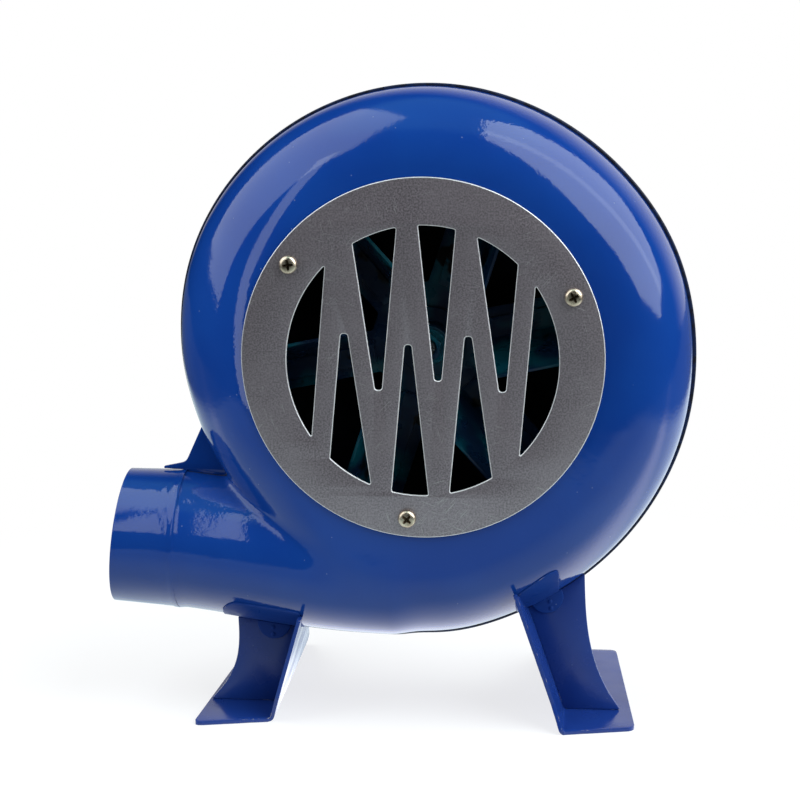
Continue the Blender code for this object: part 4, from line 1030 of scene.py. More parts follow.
def cut_by_plane(points, faces, through, outward):
    """The part of a mesh on the inner side of a plane."""
    builder = bmesh.new()
    verts = [builder.verts.new(p) for p in points]
    for face in faces:
        builder.faces.new([verts[i] for i in face])
    everything = builder.verts[:] + builder.edges[:] + builder.faces[:]
    bmesh.ops.bisect_plane(builder, geom=everything, plane_co=through, plane_no=outward, clear_outer=True)
    builder.verts.index_update()
    points = np.array([v.co[:] for v in builder.verts])
    faces = [[v.index for v in f.verts] for f in builder.faces]
    builder.free()
    return points, faces


def open_edges(faces):
    """Directed edges that belong to one face only."""
    seen = {}
    for face in faces:
        for a, b in zip(face, face[1:] + face[:1]):
            key = (min(a, b), max(a, b))
            seen[key] = None if key in seen else (a, b)
    return [edge for edge in seen.values() if edge]


def shell_skin(side, field):
    """Outer skin of one half of the housing, open at the seam and at the end of its neck."""
    far = side * (BACK_DEPTH + 2 * NET_STEP)
    near = -side * 2 * NET_STEP
    low = [CREASE_X - NECK_LENGTH - 6 * NET_STEP, min(near, far), FIELD_BOTTOM]
    high = [FIELD_RIGHT, max(near, far), FIELD_TOP]
    points, faces = surface_net(field, low, high, NET_STEP)
    points = settled(points, field)
    points, faces = cut_by_plane(points, faces, (0.0, side * HALF_GAP, 0.0), (0.0, -side, 0.0))
    return cut_by_plane(points, faces, (CREASE_X - NECK_LENGTH, 0.0, 0.0), (-1.0, 0.0, 0.0))


def shell_piece(name, node, side, field, eye_radius):
    """Half of the housing as pressed sheet: outer skin, inner skin and the edges between them."""
    points, faces = shell_skin(side, field)
    if eye_radius:
        radius = np.hypot(points[:, 0], points[:, 2])
        faces = [f for f in faces if min(radius[i] for i in f) > eye_radius]
        used = sorted({i for f in faces for i in f})
        renumber = {old: new for new, old in enumerate(used)}
        points = points[used]
        faces = [[renumber[i] for i in f] for f in faces]
    outward = unit(slope(field, points))
    count = len(points)
    inner = points - outward * SHEET
    at_seam = np.abs(points[:, 1]) < 2 * HALF_GAP
    inner[at_seam, 1] = points[at_seam, 1]
    both = np.concatenate([points, inner])
    every_face = faces + [[i + count for i in reversed(f)] for f in faces]
    normals = [outward[i] for f in faces for i in f] + [-outward[i] for f in faces for i in reversed(f)]
    for a, b in open_edges(faces):
        quad = [b, a, a + count, b + count]
        every_face.append(quad)
        facing = np.cross(both[quad[1]] - both[quad[0]], both[quad[3]] - both[quad[0]])
        normals += [facing / max(np.linalg.norm(facing), 1e-9)] * 4
    mesh = bpy.data.meshes.new(name)
    mesh.from_pydata([tuple(p) for p in placed(both)], [], every_face)
    # Inner skin and cut edges take the near-black finish, which is painted shade inside the housing.
    mesh.polygons.foreach_set("material_index", [int(k >= len(faces)) for k in range(len(every_face))])
    mesh.shade_smooth()
    mesh.normals_split_custom_set([tuple(n) for n in normals])
    link_piece(name, mesh, "housing", "blue_paint", node)
    mesh.materials.append(INSIDE_PAINTED_SHADE)


def under_housing(across, depth):
    """Lowest z of the housing's skin above points given by x and depth."""
    across, depth = np.broadcast_arrays(np.asarray(across, float), np.asarray(depth, float))
    shape = across.shape
    x, y = across.ravel(), depth.ravel()
    low, high = (np.full(len(x), level) for level in UNDERSIDE_RANGE)
    for _ in range(HALVINGS):
        middle = (low + high) / 2
        points = np.stack([x, y, middle], axis=1)
        value = np.where(y < 0.0, front_field(points), back_field(points))
        low = np.where(value > 0, middle, low)
        high = np.where(value > 0, high, middle)
    return ((low + high) / 2).reshape(shape)


def seam_path(step):
    """Outline of the housing at the seam, from the crease under the outlet round to the crease above it."""
    here = np.array([[CREASE_X + 1.0, 0.0, CREASE_Z - DUCT_RADIUS]])
    path = []
    while len(path) < 2000:
        here = settled(here, back_field, 3)
        path.append(here[0])
        outward = unit(slope(back_field, here))
        here = here + np.cross(outward, (0.0, 1.0, 0.0)) * step
        if len(path) > 50 and here[0, 0] < CREASE_X + 1.0 and here[0, 2] < CREASE_Z + DUCT_RADIUS + 5.0:
            break
    path = np.array(path)
    return path, unit(slope(back_field, path))


def share_between(value, start, end):
    return min(max((value - start) / (end - start), 0.0), 1.0)


def seam_lip():
    """Rolled lip of the back shell that stands out round the edge of the front shell, less so on the duct."""
    path, outward = seam_path(2.0)
    rings = []
    for (x, _, z), (nx, _, nz) in zip(path, outward):
        reach = LIP_OUT + LIP_SIDE * max(nx, 0.0) + LIP_LOW * max(-nz, 0.0) ** 4
        on_duct = share_between(z, *LIP_FADE_Z) * share_between(x, *LIP_FADE_X)
        reach -= (reach - LIP_ON_DUCT) * on_duct
        corners = [(LIP_ROOT, LIP_START), (reach, LIP_START), (reach, LIP_DEPTH), (LIP_ROOT, LIP_DEPTH)]
        section = rounded(corners, LIP_ROUNDS, 6)
        rings.append(np.array([(x + nx * out, depth, z + nz * out) for out, depth in section]))
    mesh = ring_mesh("seam_lip", rings, closed=False, sharp=60.0)
    # The lip takes the near-black finish, which is painted shade of the seam gap.
    link_piece("seam_lip", mesh, "housing", "blue_paint", material=SEAM_PAINTED_SHADE)


def corner_web():
    """Flat web in the corner between the outlet and the round body, just behind the seam."""
    top = CREASE_Z + DUCT_RADIUS
    left = CREASE_X + DUCT_RADIUS * math.sin(OUTLET_RISE) + GUSSET_GAP
    tip = (left - GUSSET_REACH, top + GUSSET_REACH * math.tan(OUTLET_RISE) + GUSSET_GAP)
    path, outward = seam_path(1.0)
    height = path[:, 2] - top
    corner = (path[:, 0] < GUSSET_RIGHT) & (height > -GUSSET_BELOW) & (height < GUSSET_RISE)
    path, outward = path[corner], outward[corner]
    first = path[0] + outward[0] * GUSSET_OVERLAP
    inner = [(x, z) for x, _, z in path - outward * GUSSET_SINK if x > left]
    outline = [(first[0], first[2])] + inner + [(left, top + GUSSET_GAP), tip]
    outline += [(tip[0], tip[1] + GUSSET_EDGE), (left, top + GUSSET_BEND)]
    radii = [0.0] * (len(inner) + 2) + [0.3, 0.4, 4.0]
    near = 2 * HALF_GAP
    mesh = plate_mesh("corner_web", [rounded(outline, radii)], near, near + GUSSET_THICKNESS, GUSSET_EASE)
    link_piece("corner_web", mesh, "housing", "blue_paint")


def outlet_ring(along, radius, cut, segments=128):
    """A ring about the outlet's axis at a distance out from the crease, on an oblique cut."""
    angles = 2 * math.pi * np.arange(segments) / segments
    rise = radius * np.sin(angles)
    far = along - rise * math.tan(cut)
    x = CREASE_X - far * math.cos(OUTLET_RISE) + rise * math.sin(OUTLET_RISE)
    z = CREASE_Z + far * math.sin(OUTLET_RISE) + rise * math.cos(OUTLET_RISE)
    return np.stack([x, radius * np.cos(angles), z], axis=1)


def sleeve():
    """Outlet sleeve: a thin tube with half of the soft ridge at the crease and an oblique open end."""
    wall = SLEEVE_WALL
    taper = (DUCT_RADIUS - SLEEVE_END_RADIUS) / SLEEVE_LENGTH
    starts = np.linspace(-OUTLET_LAP, RIDGE_END, 12)
    ridge = [(along, -RIDGE * math.exp(-((along / RIDGE_WIDTH) ** 2)) - SLEEVE_PROUD) for along in starts]
    outside = [(along, 0.0) for along in np.linspace(RIDGE_END + 0.5, SLEEVE_LENGTH - 0.5, 12)]
    corners = [(-OUTLET_LAP, wall)] + ridge + outside + [(SLEEVE_LENGTH, 0.0), (SLEEVE_LENGTH, wall)]
    section = rounded(corners, [0.2, 0.08] + [0.0] * 23 + [0.35, 0.35], 4)
    rings = []
    for along, inward in section:
        cut = OUTLET_CUT * share_between(along, 0.0, SLEEVE_LENGTH)
        rings.append(outlet_ring(along, DUCT_RADIUS - taper * along - inward, cut))
    mesh = ring_mesh("outlet_tube", rings, sharp=60.0)
    link_piece("outlet_tube", mesh, "housing", "blue_paint", "outlet_sleeve")


# ---------------------------------------------------------------- grille


def on_slot_circle(x, sign):
    return x, SLOT_CENTRE_Z + sign * math.sqrt(SLOT_CIRCLE**2 - x * x)


def slot_arc(start, end, step=2.0):
    """Points along the slot circle between two of its points, the short way."""
    a0 = math.atan2(start[1] - SLOT_CENTRE_Z, start[0])
    a1 = math.atan2(end[1] - SLOT_CENTRE_Z, end[0])
    turn = (a1 - a0 + math.pi) % (2 * math.pi) - math.pi
    count = max(3, round(abs(turn) / math.radians(step)))
    angles = [a0 + turn * i / count for i in range(count + 1)]
    return [(SLOT_CIRCLE * math.cos(a), SLOT_CENTRE_Z + SLOT_CIRCLE * math.sin(a)) for a in angles]


def arc_radii(arc):
    """A round corner at each end of an arc and none between."""
    return [SLOT_CORNER] + [0.0] * (len(arc) - 2) + [SLOT_CORNER]


def slot_loops():
    """Zigzag slots with round tips, and the two crescents beside them."""
    loops = []
    for rows, sign in ((UPPER_SLOTS, 1.0), (LOWER_SLOTS, -1.0)):
        for tip_x, tip_z, left, right in rows:
            arc = slot_arc(on_slot_circle(left, sign), on_slot_circle(right, sign))
            corners = arc + [(tip_x + SLOT_TIP, tip_z), (tip_x - SLOT_TIP, tip_z)]
            loops.append(rounded(corners, arc_radii(arc) + [SLOT_TIP * 0.92] * 2))
    for above, below in CRESCENTS:
        arc = slot_arc(on_slot_circle(above, 1.0), on_slot_circle(below, -1.0))
        loops.append(rounded(arc, arc_radii(arc)))
    return loops


def grille():
    """Zinc plate with the slots; its cut edges are uncoated steel, made brighter as a painted highlight."""
    loops = [circle((0.0, 0.0), GRILLE_RADIUS, 240)] + slot_loops()
    mesh = flat_piece("grille", "grille_plate", loops, GRILLE_EDGE, "housing", "zinc_sheet", 3)
    # Cut edge faces take the bright finish, a painted highlight along the plate's edges.
    mesh.materials.append(CUT_EDGE_HIGHLIGHT)
    for polygon in mesh.polygons:
        polygon.material_index = int(abs(polygon.normal.y) < FLAT_FROM)


def cross_cutter(centre, radius, near, far, turn):
    """Tapered cross for a screw's recess."""
    outline = []
    arm = radius * 0.24
    for quarter in range(4):
        axis = turn + math.pi / 2 * quarter
        for along, aside in ((arm * 1.25, -arm * 1.25), (radius, -arm * 0.8), (radius, arm * 0.8)):
            outline.append((
                along * math.cos(axis) - aside * math.sin(axis),
                along * math.sin(axis) + aside * math.cos(axis),
            ))
    ends = ((1.1, near), (0.45, far))
    rings = [facing_y(np.array(centre) + np.array(outline) * scale, depth) for scale, depth in ends]
    return ring_mesh("cross", rings, closed=False)


def pan_screw(name, node, turn, toward):
    """Pan-head screw with a domed head and a cross recess. Toward is -1 where the head points to -Y."""
    centre = centre_of(node)
    near, far = span(node)
    tip, top = (far, near) if toward < 0 else (near, far)
    seat = top - toward * SCREW_HEAD_HEIGHT
    profile = [(SCREW_SHANK * 0.55, tip), (SCREW_SHANK, tip + toward * SCREW_POINT)]
    for k in range(SCREW_THREADS):
        along = tip + toward * (SCREW_THREAD_START + k * SCREW_THREAD_STEP)
        root = (SCREW_SHANK - SCREW_THREAD_DROP, along + toward * SCREW_THREAD_FLANK)
        profile += [(SCREW_SHANK, along), root]
    profile += [(SCREW_SHANK, seat), (SCREW_HEAD_RADIUS - 0.2, seat)]
    profile.append((SCREW_HEAD_RADIUS, seat + toward * 0.25))
    profile += dome(SCREW_HEAD_RADIUS, seat, toward * SCREW_HEAD_HEIGHT, 0.15, 0.85, 0.62)
    profile.append((SCREW_HEAD_RADIUS * 0.12, top))
    head = turned_mesh(name, centre, profile, closed=False, segments=48, sharp=50.0)
    outside, bottom = top + toward * 0.3, top - toward * RECESS_DEPTH
    cutter = cross_cutter(centre, SCREW_HEAD_RADIUS * RECESS_REACH, outside, bottom, turn)
    mesh = joined(head, [cutter], "DIFFERENCE")
    link_piece(name, mesh, "housing", "plated_steel", node)
    # Walls of the cross recess take the dark finish, which is painted shade in the recess.
    mesh.materials.append(RECESS_PAINTED_SHADE)
    middle = placed(np.array([[centre[0], top, centre[1]]]))[0]
    for polygon in mesh.polygons:
        offset = np.array(polygon.center) - middle
        inside = math.hypot(offset[0], offset[2]) < SCREW_HEAD_RADIUS * 0.7 * MM
        polygon.material_index = int(inside and 0.4 * MM < -toward * offset[1] < 2.1 * MM)


# ---------------------------------------------------------------- legs


def across_row(x, depth, z):
    """Points in one row of a sheet, of which x and z may be the same all along."""
    return np.stack(np.broadcast_arrays(x, depth, z), axis=1)


def sided_sheet(name, rows, side, thickness):
    """A sheet from rows of points, which faces the same way on either side of the blower."""
    grid = np.array(rows)
    if side > 0:
        grid = grid[:, ::-1]
    return sheet_mesh(name, grid, thickness, SHEET_EASE)


def mirrored(side):
    """How a plate across the blower is placed on one side of it."""

    def place(outline, depth):
        return facing_y(np.array(outline) * (side, 1), depth)

    return place


def leg_inner_x(leg, z):
    return leg["foot_x"] - (z + AXIS_HEIGHT) * math.tan(leg["lean"])


def meeting(leg, depth):
    """Distance and height where the side plate's outer face reaches the underside of the saddle strip."""
    across = leg["foot_x"]
    for _ in range(8):
        height = float(under_housing(leg["side"] * across, max(depth, leg["strip_front"]))) - UNDER_STRIP
        across = leg_inner_x(leg, height) + LEG_SHEET
    return across, height


def plate_top(leg, depth):
    """Height where the side plate just clears the housing, for several depths."""
    height = np.full(len(depth), -AXIS_HEIGHT)
    for _ in range(6):
        near = leg["side"] * leg_inner_x(leg, height)
        level = np.maximum(depth, leg["strip_front"])
        skin = np.minimum(under_housing(near, level), under_housing(near + leg["side"] * LEG_SHEET, level))
        height = skin - UNDER_STRIP
    return height


def rear_edge(leg, heights):
    """Depth of the side plate's rear edge at heights: foot tail, arch, neck, cut under the housing."""
    floor = -AXIS_HEIGHT
    neck = floor + LEG_NECK_HEIGHT
    share = np.linspace(0.0, 1.0, 15)
    arch_depth = LEG_NECK_DEPTH + (LEG_BACK - LEG_NECK_DEPTH) * share
    arch_z = neck + (floor + REAR_UPSTAND - neck) * share + LEG_ARCH_RISE * np.sin(math.pi * share)
    top_depth = np.linspace(0.0, leg["front"], 30)
    top_z = plate_top(leg, top_depth)
    z = np.concatenate([[floor, floor + REAR_UPSTAND * 0.98], arch_z[::-1], top_z])
    depth = np.concatenate([[LEG_BACK, LEG_BACK], arch_depth[::-1], top_depth])
    order = np.argsort(z)
    return np.interp(heights, z[order], depth[order])


def leg_bracket(name, node, leg):
    """Bent sheet: a foot with round corners, a bend, and a leaning side plate with an arched rear edge."""
    side, floor = leg["side"], -AXIS_HEIGHT
    width, slant = leg["foot_width"], FOOT_SLANT / 2 * leg["slant_sign"]
    top = float(plate_top(leg, np.zeros(1))[0]) + leg["top_step"]
    bend = BEND_RADIUS
    opening = math.pi / 2 + leg["lean"]
    tangent = bend / math.tan(opening / 2)
    rows = []
    shares = np.linspace(0.0, 1.0, 49)
    corner = FOOT_CORNER
    for reach in np.concatenate([np.linspace(0.0, corner, 9), np.linspace(corner, width - tangent, 10)[1:]]):
        pulled = corner_pull(corner, corner - reach)
        share = 1.0 - reach / width
        start = leg["front"] - slant + 2 * slant * share + pulled
        end = LEG_BACK - pulled
        depth = start + (end - start) * shares
        taper = FOOT_TAPER * (depth - leg["front"]) / (LEG_BACK - leg["front"])
        x = leg["foot_x"] + (width - taper) * share
        rows.append(across_row(side * x, depth, floor))
    centre_x = leg["foot_x"] + tangent
    for k in range(1, 7):
        a = (math.pi - opening) * k / 6
        x = centre_x - bend * math.sin(a)
        z = floor + bend * (1.0 - math.cos(a))
        start = leg["front"] - slant
        depth = start + (LEG_BACK - start) * shares
        rows.append(across_row(side * x, depth, z))
    low = floor + bend * (1.0 - math.cos(math.pi - opening))
    heights = low + (top - low) * np.linspace(0.0, 1.0, 60)[1:] ** 1.15
    for z, rear in zip(heights, rear_edge(leg, heights)):
        blend = min(1.0, (z - low) / FRONT_BLEND)
        start = leg["front"] - slant * (1.0 - blend)
        end = max(rear, start + LEG_TIP)
        depth = start + (end - start) * shares
        x = leg_inner_x(leg, z)
        rows.append(across_row(side * x, depth, z))
    mesh = sided_sheet(name, rows, side, LEG_SHEET)
    link_piece(name, mesh, "housing", "blue_paint", node, LEG_BLUE)


def web(name, node, leg):
    """Upright web with a concave outer edge."""
    side = leg["side"]
    foot = -AXIS_HEIGHT + LEG_SHEET + WEB_GAP
    near, far = span(node)
    top_x = leg["web_top_x"]
    start_x, start_z = meeting(leg, far)
    strip_far = strip_ends(leg)[1] + STRIP_GAP
    outline = [(leg_inner_x(leg, foot) + LEG_SHEET + LEG_GAP, foot), (start_x + LEG_GAP, start_z)]
    for i in range(1, 13):
        across = start_x + (top_x - start_x) * i / 12
        drop = UNDER_STRIP if across <= strip_far else LEG_CLEARANCE
        outline.append((across, float(under_housing(side * across, far)) - drop))
    top_z = outline[-1][1]
    for i in range(1, 24):
        t = i / 24
        across = top_x + (leg["web_foot_x"] - top_x) * t**3 + leg["web_waist"] * math.sin(math.pi * t)
        outline.append((across, top_z + (foot - top_z) * t))
    outline.append((leg["web_foot_x"], foot))
    radii = [0.0] * 13 + [leg["web_corner"]] + [0.0] * 23 + [0.6]
    mesh = plate_mesh(name, [rounded(outline, radii)], near, far, SHEET_EASE, place=mirrored(side))
    link_piece(name, mesh, "housing", "blue_paint", node, LEG_BLUE)


def strip_ends(leg):
    start = meeting(leg, STRIP_BACK)[0] - 2 * HALF_GAP - LEG_SHEET - leg["strip_lap"]
    return start, start + leg["strip_length"]


def clip(name, node, leg):
    """Saddle strip that hugs the housing, with a half-round ear on the web and two weld dots."""
    side = leg["side"]
    start, end = strip_ends(leg)
    shares = np.linspace(0.0, 1.0, 17)
    rows = []
    for x in np.linspace(start, end, 40):
        pulled = [corner_pull(STRIP_CORNER, STRIP_CORNER - distance) for distance in (x - start, end - x)]
        front_pull = pulled[0] * leg["round_start"] + pulled[1] * leg["round_end"]
        front = leg["strip_front"] + leg["strip_slant"] * (x - start) / leg["strip_length"] + front_pull
        depth = front + (STRIP_BACK - front) * shares
        rows.append(across_row(side * x, depth, under_housing(side * x, depth) + STRIP_SINK))
    strip = sided_sheet(name, rows, side, STRIP_SHEET)
    ear_back = span(leg["web_node"])[0] - LEG_GAP
    ear_front = ear_back - STRIP_SHEET
    centre_x = meeting(leg, ear_back)[0] + leg["ear_offset"]
    ends = under_housing(side * (centre_x + EAR_RADIUS * np.array([-1.0, 0.0, 1.0])), ear_back)
    centre_z = float(ends[1]) - STRIP_SHEET + leg["ear_raise"]
    tilt = math.atan2(float(ends[2] - ends[0]), 2 * EAR_RADIUS)
    angles = [tilt - math.pi * i / 24 for i in range(25)]
    outline = [(centre_x + EAR_RADIUS * math.cos(a), centre_z + EAR_RADIUS * math.sin(a)) for a in angles]
    place = mirrored(side)
    ear = plate_mesh("ear", [outline], ear_front, ear_back, EAR_EASE, steps=3, place=place)
    dots = []
    for u, v in leg["weld_dots"]:
        centre = (centre_x + u, centre_z + v)
        rings = [place(circle(centre, radius, 20), ear_front - height) for radius, height in WELD_DOT]
        dots.append(ring_mesh("dot", rings, closed=False, sharp=60.0))
    mesh = joined(strip, [ear] + dots, "UNION")
    link_piece(name, mesh, "housing", "blue_paint", node, STRIP_BLUE)


# ---------------------------------------------------------------- impeller


def impeller_disc():
    """Star-shaped spider that carries the paddles."""
    outline, radii = [], []
    for i in range(BLADE_COUNT):
        middle = BLADE_START + 2 * math.pi * i / BLADE_COUNT
        half_core = math.asin(ARM_WIDTH / 2 / SPIDER_CORE)
        half_tip = math.asin(ARM_WIDTH / 2 / IMPELLER_RADIUS)
        for reach, angle, radius in (
            (SPIDER_CORE, middle - half_core, ARM_ROOT_ROUND),
            (IMPELLER_RADIUS, middle - half_tip, ARM_TIP_ROUND),
            (IMPELLER_RADIUS, middle + half_tip, ARM_TIP_ROUND),
            (SPIDER_CORE, middle + half_core, ARM_ROOT_ROUND),
        ):
            outline.append((reach * math.cos(angle), reach * math.sin(angle)))
            radii.append(radius)
    loops = [rounded(outline, radii), circle((0.0, 0.0), SPIGOT_RADIUS + CLEARANCE, 48)]
    flat_piece("spider", "impeller_disc", loops, IMPELLER_EASE, "impeller", "impeller_paint")


def paddle(index):
    """One bent paddle: a foot on the spider arm, a small bend and a leaning face with round corners."""
    angle = BLADE_START + 2 * math.pi * index / BLADE_COUNT
    outward = np.array([math.cos(angle), 0.0, math.sin(angle)])
    across = np.array([-math.sin(angle), 0.0, math.cos(angle)])
    back = span("impeller_disc")[0] - 2 * HALF_GAP
    front = back - BLADE_DEPTH
    drift = BLADE_DEPTH * math.tan(BLADE_LEAN)
    reach = math.sqrt(IMPELLER_RADIUS**2 - (BLADE_FOOT / 2) ** 2)
    bend = rounded([(BLADE_FOOT, back), (0.0, back), (-drift, front)], [0.0, BLADE_BEND, 0.0], 7)
    path = [np.array(bend[0])]
    for point in bend[1:]:
        steps = max(1, round(float(np.linalg.norm(np.array(point) - path[-1])) / 1.5))
        path += [path[-1] + (np.array(point) - path[-1]) * (k + 1) / steps for k in range(steps)]
    corner = BLADE_ROUND
    rows = []
    for u, depth in path:
        short = corner - (depth - front) / math.cos(BLADE_LEAN)
        if depth > back - 0.01:
            short = max(short, corner / 2 - (BLADE_FOOT - u))
        pulled = corner_pull(corner, short)
        along = np.linspace(BLADE_INNER + pulled, reach - pulled, 24)[:, None]
        rows.append(outward * along + across * (u - BLADE_FOOT / 2) + np.array([0.0, depth, 0.0]))
    name = f"paddle_{index + 1}"
    mesh = sheet_mesh(name, np.array(rows), BLADE_SHEET, IMPELLER_EASE)
    link_piece(name, mesh, "impeller", "impeller_paint", f"blade_{index + 1}")


def round_piece(name, node, centre, corners, radii, body, slot):
    """A turned piece: a closed profile with rounded corners, or an open one where there are no radii."""
    profile = rounded(corners, radii, 3) if radii else corners
    mesh = turned_mesh(name, centre, profile, bool(radii), 72)
    link_piece(name, mesh, body, slot, node)


def washer(name, node, centre, inner, outer, body, slot):
    near, far = span(node)
    corners = [(inner, near), (outer, near), (outer, far), (inner, far)]
    round_piece(name, node, centre, corners, [0.1, 0.3, 0.3, 0.1], body, slot)


def hex_nut(name, node, centre, flats, bore, body, slot, turn):
    """Hexagon nut with chamfered corners and a countersunk bore."""
    near, far = span(node)
    point = flats / math.sqrt(3.0)
    angles = turn + math.pi / 3 * np.arange(6)
    outline = np.array(centre) + point * np.stack([np.cos(angles), np.sin(angles)], axis=1)
    prism = ring_mesh(name, [facing_y(outline, depth) for depth in (near, far)], closed=False)
    drop = (point - flats / 2) * 0.6
    limit = [
        (bore + 0.5, near - 0.01),
        (flats / 2 * 0.97, near - 0.01),
        (point + 0.1, near + drop),
        (point + 0.1, far - drop),
        (flats / 2 * 0.97, far + 0.01),
        (bore + 0.5, far + 0.01),
        (bore, far - 0.5),
        (bore, near + 0.5),
    ]
    envelope = turned_mesh("limit", centre, limit, closed=True, segments=96)
    mesh = eased(joined(prism, [envelope], "INTERSECT"), NUT_EASE)
    link_piece(name, mesh, body, slot, node)


def threaded(radius, start, end):
    """Profile points of a thread from start to end, each turn a small ridge."""
    points = []
    turns = max(2, round(abs(end - start) / THREAD_PITCH))
    for k in range(turns):
        for share, drop in ((0.1, 0.0), (0.4, 0.0), (0.75, THREAD_DROP), (0.85, THREAD_DROP)):
            points.append((radius - drop, start + (end - start) * (k + share) / turns))
    return points


def impeller_hardware():
    axis, body, slot = (0.0, 0.0), "impeller", "impeller_paint"
    hub_front, hub_back = span("impeller_hub")
    disc_front = span("impeller_disc")[0]
    flange_back = disc_front - 2 * HALF_GAP
    flange_front = flange_back - HUB_FLANGE_THICKNESS
    bore = IMPELLER_SHAFT_RADIUS + CLEARANCE
    corners = [
        (bore, hub_front),
        (HUB_RADIUS, hub_front),
        (HUB_RADIUS, flange_front),
        (HUB_FLANGE_RADIUS, flange_front),
        (HUB_FLANGE_RADIUS, flange_back),
        (SPIGOT_RADIUS, flange_back),
        (SPIGOT_RADIUS, hub_back),
        (bore, hub_back),
    ]
    radii = [0.3, 0.7, 0.8, 0.5, 0.2, 0.1, 0.3, 0.2]
    round_piece("hub", "impeller_hub", axis, corners, radii, body, slot)
    washer("hub_washer", "impeller_washer", axis, bore, HUB_RADIUS - 1.0, body, slot)
    hex_nut("hub_nut", "impeller_nut", axis, IMPELLER_NUT_FLATS, bore, body, slot, 0.3)


# ---------------------------------------------------------------- gear case


def case_circles(margin):
    return [
        (CRANK_CENTRE, DRIVE_REACH + margin),
        (IDLER_CENTRE, IDLER_REACH + margin),
        ((0.0, 0.0), BEARING_FLANGE_RADIUS + margin / 2),
    ]


def belt(circles, segments=180):
    """Outline of a belt round circles: in each direction, the farthest point of any of them."""
    outline = []
    for k in range(segments):
        a = 2 * math.pi * k / segments
        across, up = math.cos(a), math.sin(a)
        centre, radius = max(circles, key=lambda c: c[0][0] * across + c[0][1] * up + c[1])
        outline.append((centre[0] + radius * across, centre[1] + radius * up))
    return outline


def disc_cutter(centre, radius, near, far):
    return turned_mesh("cutter", centre, [(radius, near), (radius, far)], closed=False, segments=64)


def case_sheet(name, node, holes, ease, slot):
    """A flat sheet with the outline of the cover's flange, holes for its four screws and others."""
    loops = [belt(case_circles(COVER_MARGIN + COVER_SHEET + COVER_FLANGE))] + holes
    loops += [circle(centre_of(f"cover_screw_{k}"), SCREW_SHANK + CLEARANCE, 32) for k in COVER_SCREWS]
    flat_piece(name, node, loops, ease, "housing", slot)


def gear_plate():
    holes = [circle((0.0, 0.0), BEARING_HOLE, 72)]
    for centre, shaft in ((CRANK_CENTRE, CRANK_SHAFT_RADIUS), (IDLER_CENTRE, IDLER_SHAFT_RADIUS)):
        holes.append(circle(centre, shaft + BUSH_WALL + CLEARANCE, 48))
    case_sheet("case_plate", "gear_plate", holes, 0.3, "zinc_sheet")


def gasket():
    case_sheet("gasket", "case_gasket", [belt(case_circles(COVER_MARGIN))], 0.15, "gasket_paper")


def gear_cover():
    """Pressed cover: flat flange, wall with a wide bend at top and bottom, holes for screws and bushes."""
    near, far = span("gear_cover")
    inner, wall = COVER_MARGIN, COVER_MARGIN + COVER_SHEET
    edge = wall + COVER_FLANGE
    ceiling, flange = far - COVER_SHEET, near + COVER_SHEET
    corners = [
        (COVER_INSIDE, ceiling),
        (inner, ceiling),
        (inner, near),
        (edge, near),
        (edge, flange),
        (wall, flange),
        (wall, far),
        (COVER_INSIDE, far),
    ]
    radii = [0.0, COVER_ROUND - COVER_SHEET, 1.2, 0.3, 0.5, 0.9, COVER_ROUND, 0.0]
    section = rounded(corners, radii, 6)
    rings = [facing_y(belt(case_circles(margin)), depth) for margin, depth in section]
    cover = ring_mesh("cover", rings, closed=False)
    holes = [(CRANK_CENTRE, CRANK_SHAFT_RADIUS + BUSH_WALL), (IDLER_CENTRE, IDLER_SHAFT_RADIUS + BUSH_WALL)]
    holes += [(centre_of(f"cover_screw_{k}"), SCREW_SHANK) for k in COVER_SCREWS]
    cutters = [disc_cutter(centre, radius + CLEARANCE, near - 1.0, far + 1.0) for centre, radius in holes]
    mesh = joined(cover, cutters, "DIFFERENCE")
    link_piece("case_cover", mesh, "housing", "blue_paint", "gear_cover")


def bush(name, node, centre, shaft):
    """Flanged bush on the outside of the cover."""
    far, end = span(node)
    seat = end - BUSH_FLANGE
    bore, sleeve_rim = shaft + CLEARANCE, shaft + BUSH_WALL
    rim = sleeve_rim + BUSH_FLANGE_RIM
    corners = [(bore, far), (sleeve_rim, far), (sleeve_rim, seat), (rim, seat), (rim, end), (bore, end)]
    round_piece(name, node, centre, corners, [0.2, 0.2, 0.0, 0.2, 0.5, 0.3], "housing", "bronze")


# ---------------------------------------------------------------- crank


def crank():
    """Crank shaft with its washer and nut, and the arm between the shaft and the grip's pin."""
    centre, plated = CRANK_CENTRE, ("crank", "plated_steel")
    near, far = span("crank_shaft")
    arm_far = span("crank_arm")[1]
    shoulder = arm_far - 1.0
    neck = CRANK_SHAFT_RADIUS - 1.0
    profile = [(CRANK_SHAFT_RADIUS - 0.5, near), (CRANK_SHAFT_RADIUS, near + 0.5)]
    profile += [(CRANK_SHAFT_RADIUS, shoulder), (neck, shoulder)]
    profile += threaded(neck, arm_far, far - 0.5) + [(neck - 0.6, far)]
    bore = CRANK_SHAFT_RADIUS + CLEARANCE
    round_piece("main_shaft", "crank_shaft", centre, profile, None, "crank", "bright_steel")
    washer("main_washer", "crank_washer", centre, bore, ARM_HUB_RADIUS - 1.0, *plated)
    hex_nut("main_nut", "crank_nut", centre, CRANK_NUT_FLATS, neck + CLEARANCE, *plated, 0.2)
    loops = [
        belt([(centre, ARM_HUB_RADIUS), (GRIP_CENTRE, ARM_END_RADIUS)], 144),
        circle(centre, bore, 64),
        circle(GRIP_CENTRE, GRIP_PIN_RADIUS + CLEARANCE, 64),
    ]
    flat_piece("arm", "crank_arm", loops, ARM_EASE, *plated, 4)


